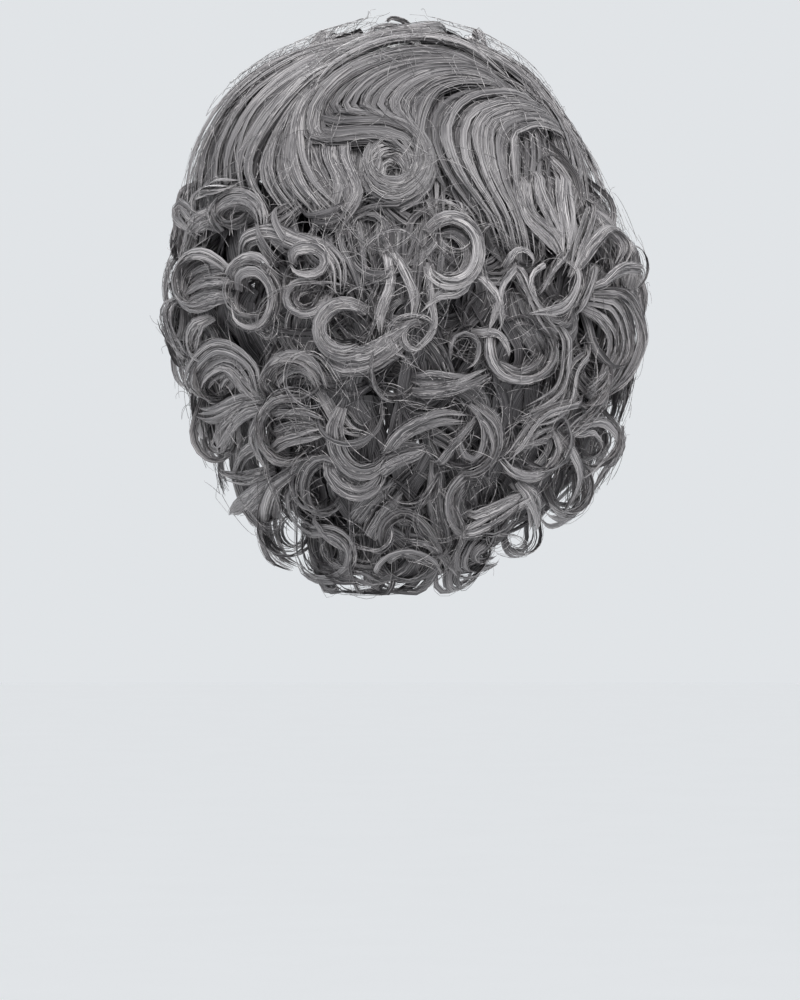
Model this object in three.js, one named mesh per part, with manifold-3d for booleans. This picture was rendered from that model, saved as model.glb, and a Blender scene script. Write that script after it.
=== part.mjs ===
// Lace front wig: a cloth cap, a strip of lace along the forehead and six sections of curled hair.
// Millimetres, +Z up, +Y to the back of the head, +X to the wearer's left.
// The origin is the middle of the head at its widest girth.
import * as THREE from "three";
import { mergeVertices } from "three/addons/utils/BufferGeometryUtils.js";
import Module from "manifold-3d";

const wasm = await Module();
wasm.setup();

// The egg-shaped head the cap fits, as half sizes from the origin.
const HEAD_HALF_WIDTH = 80;
const HEAD_HALF_LENGTH = 99;
const HEAD_TOP = 105;
const HEAD_BOTTOM = 150;
const NECK_HALF_WIDTH = 68;
const NECK_HALF_LENGTH = 72;

// Free room below the cap's edge, round the ears and jaw, where the hair hangs clear of the head.
const JAW_HALF_WIDTH = 92;
const JAW_HALF_LENGTH = 62;
const JAW_HALF_HEIGHT = 80;
const JAW_BACK = -12;
const JAW_HEIGHT = -105;
const JAW_AROUND = 10;
const JAW_DOWN = 6;

const CAP_WALL = 1.5;
const LACE_WALL = 1.0;
const GAP = 0.3;
const HAIR_GAP = 0.9;
const EGG_AROUND = 26;
const EGG_DOWN = 14;
const WELD = 0.01;

// Hair: the mass lies this far inside the outline, and the locks stand on it up to the outline.
const MASS_INSET = 13;
const MASS_AROUND = 14;
const MASS_TOP = 123;
const CURL_STEPS = 7;
const WAVE_STEPS = 7;
const CURL_THICKNESS = 6;
const WAVE_THICKNESS = 9;
const CURL_TIGHTENS = 0.34;
const TIP_SHARE = 0.45;
const INNER_BEND = 0.75;
const ROOT_SHARE = 0.4;
const LEAST_STEP = 0.5;
const ROOT_DRAW = 0.6;
const SIDE_TOP = 50;

// Edge of the cap in side view, from the forehead round the ear to the nape: [back, height].
const HAIRLINE = [
  [-83, 60],
  [-66, 38],
  [-48, 8],
  [-37, -36],
  [-20, -40],
  [-11, -12],
  [8, -2],
  [26, -30],
  [50, -82],
  [70, -95],
  [140, -98],
];

// Seam between the lace and the cap in side view, from the top of the forehead to the ear: [back, height].
const LACE_SEAM = [
  [-66, 84],
  [-48, 56],
  [-31, 18],
  [-18, -24],
  [-15, -60],
];

// Front edge of the hair in side view, from the forehead down beside the face: [back, height].
const FACE_EDGE = [
  [-88, 70],
  [-70, 46],
  [-58, 8],
  [-60, -50],
  [-56, -120],
  [-44, -190],
  [-30, -240],
];

// Outline of the whole hair by height: half widths to the wearer's left and right, depth to the back and front.
const OUTLINE = [
  { height: 132, left: 14, right: 14, back: 10, front: 44 },
  { height: 123, left: 42, right: 44, back: 46, front: 84 },
  { height: 110, left: 72, right: 66, back: 80, front: 106 },
  { height: 90, left: 102, right: 88, back: 108, front: 120 },
  { height: 68, left: 118, right: 103, back: 127, front: 124 },
  { height: 40, left: 129, right: 120, back: 143, front: 112 },
  { height: 10, left: 135, right: 133, back: 152, front: 92 },
  { height: -20, left: 141, right: 149, back: 157, front: 74 },
  { height: -48, left: 149, right: 147, back: 158, front: 66 },
  { height: -80, left: 133, right: 141, back: 154, front: 62 },
  { height: -120, left: 125, right: 136, back: 143, front: 58 },
  { height: -150, left: 111, right: 125, back: 128, front: 52 },
  { height: -180, left: 87, right: 92, back: 113, front: 42 },
  { height: -212, left: 54, right: 52, back: 96, front: 30 },
];
const OUTLINE_MIDDLE = -42;
const OUTLINE_HALF_HEIGHT = 170;

// Parts of the head that each section of hair grows from, as boxes: [low, high] for x, y and z.
const SECTIONS = {
  crown_hair: { x: [-300, 300], y: [-28, 300], z: [62, 300] },
  front_hair: { x: [-300, 300], y: [-300, -28.4], z: [20, 300] },
  back_hair: { x: [-49.6, 49.6], y: [-28, 300], z: [-60, 61.6] },
  left_side_hair: { x: [50, 300], y: [-300, 300], z: [-300, 61.6] },
  right_side_hair: { x: [-300, -50], y: [-300, 300], z: [-300, 61.6] },
  nape_hair: { x: [-49.6, 49.6], y: [-28, 300], z: [-300, -60.4] },
};

// Curls. face: 1 behind, -1 in front. across and height: middle of the curl on the outline. rise: how far above
// it the root lies. turns: counter-clockwise seen from the tip of the curl's axis. yaw: axis from straight back
// towards the wearer's left. pitch: axis upwards. band: width of the lock along the axis.
const CURL_COLUMNS = ["face", "across", "height", "rise", "radius", "turns", "yaw", "pitch", "band"];
const CURLS = {
  front_hair: [
    [-1, 0, 117, -40, 15, -0.9, 90, 0, 34],
    [-1, 36, 112, -42, 15, -0.9, 110, 10, 30],
    [-1, -36, 112, -42, 15, -0.9, 70, -10, 30],
    [-1, 66, 92, -35, 15, -0.9, 125, 25, 28],
    [-1, -66, 92, -35, 15, -0.9, 55, -25, 28],
    [-1, 56, 66, 0, 14, 0.9, 160, 10, 20],
    [-1, -60, 62, 0, 14, -0.9, 200, 10, 20],
  ],
  back_hair: [
    [1, 55, -33, 40, 15, 0.95, 20, 10, 18],
    [1, 32, -53, 45, 18, 1.0, 5, 0, 20],
    [1, -34, -9, 35, 18, -1.0, -10, 10, 20],
    [1, -42, -68, 45, 13, -0.95, -10, 0, 16],
    [1, 10, -22, 35, 16, 0.9, 0, 40, 16],
    [1, 4, -84, 50, 19, 0.9, 0, -25, 18],
    [1, 42, 6, 30, 12, -0.9, 40, 60, 18],
  ],
  left_side_hair: [
    [1, 98, 15, 30, 16, 0.9, 30, 25, 18],
    [1, 122, -29, 35, 16, 1.0, 40, 0, 22],
    [1, 90, -38, 40, 15, 1.0, 15, 5, 20],
    [1, 75, -8, 35, 17, -0.8, -60, 40, 24],
    [1, 134, -50, 35, 15, 0.9, 60, 0, 22],
    [1, 110, -86, 50, 20, -1.0, 35, 10, 22],
    [1, 64, -86, 50, 19, 1.0, 10, 0, 18],
    [1, 69, -119, 60, 23, 1.0, 10, 5, 22],
    [1, 110, -122, 60, 15, 0.9, 30, 0, 20],
    [-1, 98, 46, 12, 16, 0.9, 130, 0, 22],
    [-1, 112, 2, 25, 16, 0.9, 130, 0, 22],
    [-1, 126, -30, 40, 17, -0.9, 110, 0, 24],
    [-1, 118, -74, 55, 18, 0.9, 120, 0, 24],
    [-1, 104, -116, 70, 18, -0.9, 120, 0, 22],
  ],
  right_side_hair: [
    [1, -94, 27, 30, 20, -0.9, -30, 10, 20],
    [1, -122, 13, 25, 13, -0.9, -50, 0, 18],
    [1, -76, -14, 35, 13, 0.95, -10, 20, 16],
    [1, -98, -29, 35, 16, -0.95, -30, 0, 18],
    [1, -138, -20, 30, 13, 0.9, -40, 0, 18],
    [1, -74, -70, 45, 19, 1.0, -10, 0, 18],
    [1, -122, -60, 45, 23, 0.8, -50, 0, 26],
    [1, -112, -88, 50, 19, -0.95, -30, 0, 22],
    [1, -87, -124, 60, 21, -1.0, -20, 0, 20],
    [1, -121, -125, 60, 15, -0.95, -15, 0, 18],
    [1, -104, -154, 70, 17, 0.95, -30, 0, 20],
    [-1, -96, 40, 12, 16, -0.9, 230, 0, 22],
    [-1, -114, 0, 25, 16, -0.9, 230, 0, 22],
    [-1, -126, -34, 40, 17, 0.9, 250, 0, 24],
    [-1, -118, -80, 55, 18, -0.9, 240, 0, 24],
    [-1, -106, -120, 70, 18, 0.9, 240, 0, 22],
  ],
  nape_hair: [
    [1, -40, -122, 60, 21, -1.0, -5, 0, 20],
    [1, 30, -116, 55, 18, 0.8, 5, 20, 20],
    [1, 52, -153, 75, 16, 1.0, 10, 0, 18],
    [1, -4, -152, 75, 17, -0.9, 0, 10, 18],
    [1, -52, -164, 80, 19, 1.0, -10, 0, 18],
    [1, 46, -189, 100, 18, 1.0, 10, 0, 18],
    [1, -4, -196, 105, 15, -1.0, 0, 0, 16],
    [1, 72, -178, 95, 16, -0.95, 25, 0, 18],
    [1, -44, -194, 105, 14, 0.95, -10, 0, 16],
    [1, -76, -183, 100, 13, -0.95, -25, 0, 16],
  ],
};

// Waves lying flat on the outline: places [across, height] the lock runs through, seen from behind. end gives
// the flat spiral the lock may close with.
const WAVES = {
  crown_hair: [
    { band: 30, through: [[34, 112], [72, 95], [104, 66], [118, 34], [112, 14]] },
    { band: 28, through: [[30, 108], [66, 84], [88, 54], [90, 26]] },
    { band: 26, through: [[26, 100], [54, 78], [70, 50], [58, 22]] },
    {
      band: 28,
      through: [[-44, 99], [-6, 104], [28, 94], [30, 77], [0, 68], [-20, 54]],
      end: { across: 4, height: 40, radius: 27, turns: -0.78 },
    },
    { band: 24, through: [[-22, 92], [-50, 78], [-36, 50], [-48, 22], [-66, 2]] },
    { band: 24, through: [[-44, 104], [-76, 84], [-62, 56], [-72, 26]] },
    { band: 28, through: [[-40, 112], [-82, 88], [-106, 56], [-114, 26]] },
  ],
  nape_hair: [
    { band: 20, through: [[38, -96], [37, -126], [16, -142], [-12, -127], [-42, -104]] },
  ],
};

const COLOURS = {
  cap: 0x4a494b,
  lace_front: 0xcdb9a6,
  crown_hair: 0xa09b9b,
  front_hair: 0x9a9797,
  back_hair: 0x8a8889,
  left_side_hair: 0x949192,
  right_side_hair: 0x949192,
  nape_hair: 0x838183,
};

const UP = new THREE.Vector3(0, 0, 1);

function toSolid(geometry) {
  const bare = geometry.index ? geometry.toNonIndexed() : geometry.clone();
  bare.deleteAttribute("normal");
  bare.deleteAttribute("uv");
  const merged = mergeVertices(bare, WELD);
  const mesh = new wasm.Mesh({
    numProp: 3,
    vertProperties: merged.getAttribute("position").array,
    triVerts: Uint32Array.from(merged.index.array),
  });
  return new wasm.Manifold(mesh);
}

// The head's egg grown outwards, faceted finely enough for a smooth cap.
function egg(grow) {
  const ball = new THREE.SphereGeometry(1, EGG_AROUND, EGG_DOWN);
  ball.rotateX(Math.PI / 2);
  const places = ball.getAttribute("position");
  for (let i = 0; i < places.count; i++) {
    const tall = places.getZ(i) > 0 ? HEAD_TOP : HEAD_BOTTOM;
    places.setXYZ(
      i,
      places.getX(i) * (HEAD_HALF_WIDTH + grow),
      places.getY(i) * (HEAD_HALF_LENGTH + grow),
      places.getZ(i) * (tall + grow),
    );
  }
  return toSolid(ball);
}

// A side-view region run across the whole width.
function sideCut(edge, corners, shift = 0) {
  const shape = new THREE.Shape();
  shape.moveTo(edge[0][0] + shift, edge[0][1]);
  shape.splineThru(edge.slice(1).map(([back, height]) => new THREE.Vector2(back + shift, height)));
  corners.forEach(([back, height]) => shape.lineTo(back, height));
  const slab = new THREE.ExtrudeGeometry(shape, { depth: 600, bevelEnabled: false, curveSegments: 2 });
  slab.translate(0, 0, -300);
  const yAxis = new THREE.Vector3(0, 1, 0);
  const xAxis = new THREE.Vector3(1, 0, 0);
  slab.applyMatrix4(new THREE.Matrix4().makeBasis(yAxis, UP, xAxis));
  return toSolid(slab);
}

function outlineAt(height) {
  const last = OUTLINE.length - 1;
  let row = OUTLINE.findIndex((line, i) => i < last && height >= OUTLINE[i + 1].height);
  row = row < 0 ? last - 1 : row;
  const high = OUTLINE[row];
  const low = OUTLINE[row + 1];
  const share = THREE.MathUtils.clamp((high.height - height) / (high.height - low.height), 0, 1);
  const mix = (name) => THREE.MathUtils.lerp(high[name], low[name], share);
  return { left: mix("left"), right: mix("right"), back: mix("back"), front: mix("front") };
}

// Closed body through rings of equal count, each ring counter-clockwise seen from the far end.
function loft(rings) {
  const sides = rings[0].length;
  const places = [];
  const triangles = [];
  rings.forEach((ring) => ring.forEach((place) => places.push(place.x, place.y, place.z)));
  for (let i = 0; i + 1 < rings.length; i++) {
    for (let j = 0; j < sides; j++) {
      const next = (j + 1) % sides;
      const a = i * sides + j;
      const b = i * sides + next;
      triangles.push(a, b, b + sides, a, b + sides, a + sides);
    }
  }
  const end = (rings.length - 1) * sides;
  for (let j = 1; j + 1 < sides; j++) {
    triangles.push(0, j + 1, j, end, end + j, end + j + 1);
  }
  const body = new THREE.BufferGeometry();
  body.setAttribute("position", new THREE.Float32BufferAttribute(places, 3));
  body.setIndex(triangles);
  return toSolid(body);
}

// The hair as one mass inside the outline, before it is hollowed and parted.
function hairMass(grow) {
  const inset = MASS_INSET - grow;
  const rings = OUTLINE.slice(1).map((row) => {
    const ring = [];
    for (let j = 0; j < MASS_AROUND; j++) {
      const angle = (2 * Math.PI * j) / MASS_AROUND;
      const half = Math.cos(angle) > 0 ? row.left : row.right;
      const depth = Math.sin(angle) > 0 ? row.back : row.front;
      const x = (half - inset) * Math.cos(angle);
      const y = (depth - inset) * Math.sin(angle);
      const sunk = THREE.MathUtils.clamp((row.height - MASS_TOP + inset) / inset, 0, 1) * inset * 0.5;
      ring.push(new THREE.Vector3(x, y, row.height - sunk));
    }
    return ring;
  });
  return loft(rings.reverse());
}

// A place on the outline seen from behind (face 1) or from in front (face -1).
function hairPlace(across, height, face) {
  const line = outlineAt(height);
  const half = across >= 0 ? line.left : line.right;
  const depth = face > 0 ? line.back : line.front;
  const share = Math.min(1, Math.abs(across) / half);
  return new THREE.Vector3(across, face * depth * Math.sqrt(1 - share * share), height);
}

function outward(place) {
  const line = outlineAt(place.z);
  const half = place.x >= 0 ? line.left : line.right;
  const depth = place.y >= 0 ? line.back : line.front;
  return new THREE.Vector3(
    place.x / half ** 2,
    place.y / depth ** 2,
    (place.z - OUTLINE_MIDDLE) / OUTLINE_HALF_HEIGHT ** 2,
  ).normalize();
}

// A root on the cap.
function capPlace(across, height, face) {
  const tall = height > 0 ? HEAD_TOP : HEAD_BOTTOM;
  const level = Math.sqrt(Math.max(0.02, 1 - (height / tall) ** 2));
  const share = Math.min(0.95, Math.abs(across) / (HEAD_HALF_WIDTH * level));
  const x = Math.sign(across) * share * HEAD_HALF_WIDTH * level;
  return new THREE.Vector3(x, face * HEAD_HALF_LENGTH * level * Math.sqrt(1 - share * share), height);
}

// A lock from its middle line, the direction of its band at each place, and its sizes. Where the line bends
// within the band, the inner half of the band is drawn in so that it doesn't fold over itself.
function lockBody(middle, bands, band, thickness, rootShare, grow) {
  const last = middle.length - 1;
  let behind = null;
  const rings = middle.map((place, i) => {
    const before = middle[Math.max(0, i - 1)];
    const after = middle[Math.min(last, i + 1)];
    const along = after.clone().sub(before).normalize();
    const wide = bands[i].clone().addScaledVector(along, -bands[i].dot(along)).normalize();
    const thin = along.clone().cross(wide);
    const step = after.distanceTo(before) / 2;
    const bend = before.clone().add(after).addScaledVector(place, -2).dot(wide) / step ** 2;
    const share = i / last;
    const taper = share < 0.7 ? 1 : THREE.MathUtils.lerp(1, TIP_SHARE, (share - 0.7) / 0.3);
    const half = (band / 2) * taper * (i === 0 ? rootShare : 1);
    const drawn = Math.min(half, INNER_BEND / Math.max(Math.abs(bend), 1e-6));
    const halfThick = (thickness / 2) * taper + grow;
    const right = (bend > 0 ? drawn : half) + grow;
    const left = (bend < 0 ? drawn : half) + grow;
    const corners = [[right, halfThick], [-left, halfThick], [-left, -halfThick], [right, -halfThick]];
    const end = place.clone().addScaledVector(along, i === 0 ? -grow : i === last ? grow : 0);
    const ring = corners.map(([w, t]) => end.clone().addScaledVector(wide, w).addScaledVector(thin, t));
    if (behind) {
      ring.forEach((corner, j) => {
        const ahead = corner.clone().sub(behind[j]).dot(along);
        corner.addScaledVector(along, Math.max(0, LEAST_STEP - ahead));
      });
    }
    behind = ring;
    return ring;
  });
  return loft(rings);
}

// A lock that runs from its root on the cap into a ring or barrel standing on the outline.
function curl(values, grow) {
  const row = Object.fromEntries(CURL_COLUMNS.map((name, i) => [name, values[i]]));
  const yaw = THREE.MathUtils.degToRad(row.yaw);
  const pitch = THREE.MathUtils.degToRad(row.pitch);
  const axis = new THREE.Vector3(
    Math.sin(yaw) * Math.cos(pitch),
    Math.cos(yaw) * Math.cos(pitch),
    Math.sin(pitch),
  );
  const centre = hairPlace(row.across, row.height, row.face);
  centre.y -= (row.face * row.band) / 2;
  const rootFace = row.height < SIDE_TOP ? 1 : row.face;
  const root = capPlace(row.across * ROOT_DRAW, row.height + row.rise, rootFace);
  const away = root.clone().sub(centre);
  away.addScaledVector(axis, -away.dot(axis));
  const reach = Math.max(away.length(), row.radius * 1.05);
  const first = away.normalize();
  const second = axis.clone().cross(first);
  const sense = Math.sign(row.turns);
  const entry = Math.acos(row.radius / reach);
  const arc = [];
  for (let i = 0; i <= CURL_STEPS; i++) {
    const share = i / CURL_STEPS;
    const angle = sense * (entry + 2 * Math.PI * Math.abs(row.turns) * share);
    const radius = row.radius * (1 - CURL_TIGHTENS * share);
    const place = centre.clone();
    place.addScaledVector(first, radius * Math.cos(angle));
    place.addScaledVector(second, radius * Math.sin(angle));
    place.addScaledVector(axis, row.band * 0.2 * (share - 0.5));
    arc.push(place);
  }
  const middle = [root, ...arc];
  const bands = middle.map(() => axis);
  return lockBody(middle, bands, row.band, CURL_THICKNESS, ROOT_SHARE, grow);
}

// A lock lying flat on the outline.
function wave(row, grow) {
  const run = new THREE.CatmullRomCurve3(
    row.through.map(([across, height]) => new THREE.Vector3(across, 0, height)),
    false,
    "centripetal",
  );
  const flat = run.getPoints(WAVE_STEPS);
  if (row.end) {
    const { across, height, radius, turns } = row.end;
    const last = flat[flat.length - 1];
    const start = Math.atan2(last.z - height, last.x - across);
    for (let i = 2; i <= CURL_STEPS; i++) {
      const share = i / CURL_STEPS;
      const angle = start - 2 * Math.PI * turns * share;
      const size = radius * (1 - 0.5 * share);
      flat.push(new THREE.Vector3(across + size * Math.cos(angle), 0, height + size * Math.sin(angle)));
    }
  }
  const outer = flat.map((place) => hairPlace(place.x, place.z, 1));
  const middle = outer.map((place) => place.clone().addScaledVector(outward(place), -WAVE_THICKNESS / 2));
  const bands = middle.map((place, i) => {
    const before = middle[Math.max(0, i - 1)];
    const after = middle[Math.min(middle.length - 1, i + 1)];
    return outward(place).cross(after.clone().sub(before)).normalize();
  });
  return lockBody(middle, bands, row.band, WAVE_THICKNESS, 1, grow);
}

const aboveHairline = sideCut(HAIRLINE, [[140, 220], [-200, 220], [-200, 60]]);
const behindSeam = sideCut(LACE_SEAM, [[300, -260], [300, 260], [-66, 260]]);
const beforeSeam = sideCut(LACE_SEAM, [[-300, -260], [-300, 260], [-66 - GAP, 260]], -GAP);
const facePart = sideCut(FACE_EDGE, [[-300, -240], [-300, 68]]);

const headHollow = egg(0);
const capShell = egg(CAP_WALL).subtract(headHollow).intersect(aboveHairline);
const laceShell = egg(LACE_WALL).subtract(headHollow).intersect(aboveHairline);

const neck = new THREE.CylinderGeometry(1, 1, 260, 24);
neck.rotateX(Math.PI / 2);
neck.scale(NECK_HALF_WIDTH, NECK_HALF_LENGTH, 1);
neck.translate(0, 0, -170);
const jaw = new THREE.SphereGeometry(1, JAW_AROUND, JAW_DOWN);
jaw.rotateX(Math.PI / 2);
jaw.scale(JAW_HALF_WIDTH, JAW_HALF_LENGTH, JAW_HALF_HEIGHT);
jaw.translate(0, JAW_BACK, JAW_HEIGHT);
const headRoom = egg(CAP_WALL + GAP).add(toSolid(neck)).add(toSolid(jaw));

function sectionBody(name, grow) {
  const box = SECTIONS[name];
  const sizes = [box.x, box.y, box.z].map(([low, high]) => high - low + 2 * grow);
  const block = new THREE.BoxGeometry(...sizes);
  block.translate(...[box.x, box.y, box.z].map(([low, high]) => (low + high) / 2));
  const backing = hairMass(grow).intersect(toSolid(block)).subtract(facePart);
  const curls = (CURLS[name] ?? []).map((row) => curl(row, grow));
  const waves = (WAVES[name] ?? []).map((row) => wave(row, grow));
  return [...curls, ...waves].reduce((body, lock) => body.add(lock), backing);
}

function toGeometry(solid) {
  const mesh = solid.getMesh();
  const geometry = new THREE.BufferGeometry();
  const places = [];
  for (let i = 0; i < mesh.numVert; i++) {
    const place = mesh.vertProperties.slice(i * mesh.numProp, i * mesh.numProp + 3);
    places.push(...Array.from(place, (value) => Math.round(value / WELD) * WELD));
  }
  geometry.setAttribute("position", new THREE.Float32BufferAttribute(places, 3));
  geometry.setIndex(Array.from(mesh.triVerts));
  return geometry;
}

// The main body of a solid, without loose crumbs.
function mainBody(solid) {
  return solid.decompose().reduce((best, body) => (body.volume() > best.volume() ? body : best));
}

function namedMesh(name, solid) {
  const welded = toSolid(toGeometry(mainBody(solid)));
  const geometry = toGeometry(mainBody(welded));
  geometry.computeVertexNormals();
  const material = new THREE.MeshStandardMaterial({ color: COLOURS[name], roughness: 0.7 });
  const piece = new THREE.Mesh(geometry, material);
  piece.name = name;
  return piece;
}

const wig = new THREE.Group();
wig.name = "lace_front_wig";
wig.add(namedMesh("cap", capShell.intersect(behindSeam)));
wig.add(namedMesh("lace_front", laceShell.intersect(beforeSeam)));

let taken = null;
for (const name of Object.keys(SECTIONS)) {
  const body = sectionBody(name, 0);
  wig.add(namedMesh(name, (taken ? body.subtract(taken) : body).subtract(headRoom)));
  const grown = sectionBody(name, HAIR_GAP).add(body);
  taken = taken ? taken.add(grown) : grown;
}

export default wig;
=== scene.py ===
import math

import bmesh
import bpy
import numpy as np
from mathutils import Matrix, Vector


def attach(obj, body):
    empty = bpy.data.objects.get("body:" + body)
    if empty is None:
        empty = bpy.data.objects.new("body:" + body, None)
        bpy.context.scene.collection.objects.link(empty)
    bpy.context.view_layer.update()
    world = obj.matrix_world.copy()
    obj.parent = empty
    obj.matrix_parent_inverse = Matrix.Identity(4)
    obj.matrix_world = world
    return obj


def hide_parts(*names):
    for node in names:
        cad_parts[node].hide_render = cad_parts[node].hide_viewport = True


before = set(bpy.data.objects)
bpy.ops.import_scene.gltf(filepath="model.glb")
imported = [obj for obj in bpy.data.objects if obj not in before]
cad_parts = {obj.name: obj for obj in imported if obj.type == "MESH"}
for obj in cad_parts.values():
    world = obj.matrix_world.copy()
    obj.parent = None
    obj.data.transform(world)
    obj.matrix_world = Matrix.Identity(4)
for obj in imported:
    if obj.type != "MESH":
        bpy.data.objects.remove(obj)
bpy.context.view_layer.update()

# Cap. A close-fitting cap of dark stretch cloth, hollow for the head, with rows of hair sewn on
# outside. It is cut round the ears and ends in a short edge on the nape.
MM = 0.001
HEAD_HALF_WIDTH = 80
HEAD_HALF_LENGTH = 99
HEAD_TOP = 105
HEAD_BOTTOM = 150
CAP_WALL = 1.5
CAP_AROUND = 96
CAP_DOWN = 64
EDGE_ROUNDS = 3
WEFT_ROW = 9
KNIT_GRAIN = 900.0
CLOTH_DARK = (0.02, 0.02, 0.021)
CLOTH_LIGHT = (0.085, 0.082, 0.084)
CLOTH_ROUGHNESS = 0.85


class Shade:
    """A shader socket that takes part in Python arithmetic."""

    def __init__(self, tree, socket):
        self.tree = tree
        self.socket = socket

    def node(self, kind, settings=None, **inputs):
        made = self.tree.nodes.new(kind)
        for name, value in (settings or {}).items():
            if name == "stops":
                ramp = made.color_ramp
                while len(ramp.elements) < len(value):
                    ramp.elements.new(1.0)
                for element, (place, colour) in zip(ramp.elements, value):
                    element.position = place
                    element.color = (*colour, 1.0)
            else:
                setattr(made, name, value)
        for name, value in inputs.items():
            key = int(name[1:]) if name[0] == "i" and name[1:].isdigit() else name.replace("_", " ")
            if isinstance(value, Shade):
                self.tree.links.new(value.socket, made.inputs[key])
            else:
                made.inputs[key].default_value = value
        return made

    def of(self, made, output=0):
        return Shade(self.tree, made.outputs[output])

    def maths(self, operation, first, second=0.0):
        return self.of(self.node("ShaderNodeMath", {"operation": operation}, i0=first, i1=second))

    def __add__(self, other):
        return self.maths("ADD", self, other)

    __radd__ = __add__

    def __sub__(self, other):
        return self.maths("SUBTRACT", self, other)

    def __rsub__(self, other):
        return self.maths("SUBTRACT", other, self)

    def __mul__(self, other):
        return self.maths("MULTIPLY", self, other)

    __rmul__ = __mul__

    def ramp(self, *stops):
        return self.of(self.node("ShaderNodeValToRGB", {"stops": stops}, Fac=self))

    def between(self, low, high):
        return self.of(self.node("ShaderNodeMapRange", None, Value=self, From_Min=low, From_Max=high))

    def mix(self, first, second):
        return self.of(self.node("ShaderNodeMix", {"data_type": "RGBA"}, i0=self, i6=first, i7=second), 2)


def new_material(name):
    """A material with its Principled shader and a wrapped starting socket."""
    material = bpy.data.materials.new(name)
    material.use_nodes = True
    tree = material.node_tree
    shader = tree.nodes["Principled BSDF"]
    start = Shade(tree, tree.nodes.new("ShaderNodeTexCoord").outputs["Object"])
    return material, shader, start


def feed(start, shader, socket, value):
    start.tree.links.new(value.socket, shader.inputs[socket])


def finish_piece(mesh_or_bmesh, name, material, node):
    """Makes the object of a piece and hides the solid it stands for."""
    mesh = mesh_or_bmesh
    if isinstance(mesh_or_bmesh, bmesh.types.BMesh):
        mesh = bpy.data.meshes.new(name)
        mesh_or_bmesh.to_mesh(mesh)
        mesh_or_bmesh.free()
    mesh.shade_smooth()
    mesh.materials.append(material)
    piece = bpy.data.objects.new(name, mesh)
    bpy.context.scene.collection.objects.link(piece)
    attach(piece, "root")
    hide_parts(node)
    return piece


def egg_shell(grow, around, down, keep):
    """The skin of the head's egg, without the faces that keep() turns down."""
    shell = bmesh.new()
    bmesh.ops.create_uvsphere(shell, u_segments=around, v_segments=down, radius=1)
    for vert in shell.verts:
        tall = HEAD_TOP if vert.co.z > 0 else HEAD_BOTTOM
        vert.co.x *= HEAD_HALF_WIDTH + grow
        vert.co.y *= HEAD_HALF_LENGTH + grow
        vert.co.z *= tall + grow
    gone = [face for face in shell.faces if not keep(face.calc_center_median())]
    bmesh.ops.delete(shell, geom=gone, context="FACES")
    for _ in range(EDGE_ROUNDS):
        edge = [vert for vert in shell.verts if vert.is_boundary]
        bmesh.ops.smooth_vert(
            shell, verts=edge, factor=0.5, use_axis_x=True, use_axis_y=True, use_axis_z=True,
        )
    return shell


# Side-view edges as [back, height], the same as the solids'.
HAIRLINE = np.array([
    [-83, 60], [-66, 38], [-48, 8], [-37, -36], [-20, -40], [-11, -12],
    [8, -2], [26, -30], [50, -82], [70, -95], [140, -98],
])
LACE_SEAM = np.array([[-66, 84], [-48, 56], [-31, 18], [-18, -24], [-15, -60]])


def above_hairline(place):
    return place.z > np.interp(place.y, HAIRLINE[:, 0], HAIRLINE[:, 1])


def behind_seam(place):
    return place.y > np.interp(-place.z, -LACE_SEAM[:, 1], LACE_SEAM[:, 0])


cap_cloth, shader, start = new_material("cap_cloth")
grain = start.of(start.node("ShaderNodeTexNoise", None, Vector=start, Scale=KNIT_GRAIN, Detail=3.0))
rows = start.of(start.node(
    "ShaderNodeTexWave", {"bands_direction": "Z"}, Vector=start, Scale=0.5 / (WEFT_ROW * MM), Distortion=0.6,
))
tone = grain * 0.5 + rows * 0.5
feed(start, shader, "Base Color", tone.ramp((0.2, CLOTH_DARK), (0.8, CLOTH_LIGHT)))
cloth_bump = start.of(start.node("ShaderNodeBump", None, Strength=0.5, Distance=0.0006, Height=tone))
feed(start, shader, "Normal", cloth_bump)
shader.inputs["Roughness"].default_value = CLOTH_ROUGHNESS

cap_mesh = egg_shell(CAP_WALL, CAP_AROUND, CAP_DOWN, lambda p: above_hairline(p) and behind_seam(p))
bmesh.ops.solidify(cap_mesh, geom=cap_mesh.faces[:], thickness=CAP_WALL)
bmesh.ops.scale(cap_mesh, vec=(MM, MM, MM), verts=cap_mesh.verts)
cap = finish_piece(cap_mesh, "cap_shell", cap_cloth, "cap")

# Lace front. A strip of fine pale net along the forehead from ear to ear, sewn to the cap behind.
# The front hair is knotted into its meshes.
LACE_WALL = 0.5
LACE_AROUND = 128
LACE_DOWN = 80
NET_PITCH = 1.6
THREAD_EDGE = (0.28, 0.42)
THREAD_DARK = (0.5, 0.4, 0.31)
THREAD_LIGHT = (0.62, 0.52, 0.42)
LACE_ROUGHNESS = 0.75

lace_net, shader, start = new_material("lace_net")
parts = start.node("ShaderNodeSeparateXYZ", None, Vector=start)
turn = 2 * math.pi / (NET_PITCH * MM)
one = start.maths("SINE", (start.of(parts, 0) + start.of(parts, 2)) * turn)
two = start.maths("SINE", (start.of(parts, 0) - start.of(parts, 2)) * turn)
thread = start.maths("MINIMUM", start.maths("ABSOLUTE", one), start.maths("ABSOLUTE", two))
feed(start, shader, "Alpha", 1 - thread.between(*THREAD_EDGE))
feed(start, shader, "Base Color", thread.ramp((0.0, THREAD_DARK), (0.4, THREAD_LIGHT)))
shader.inputs["Roughness"].default_value = LACE_ROUGHNESS

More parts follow.
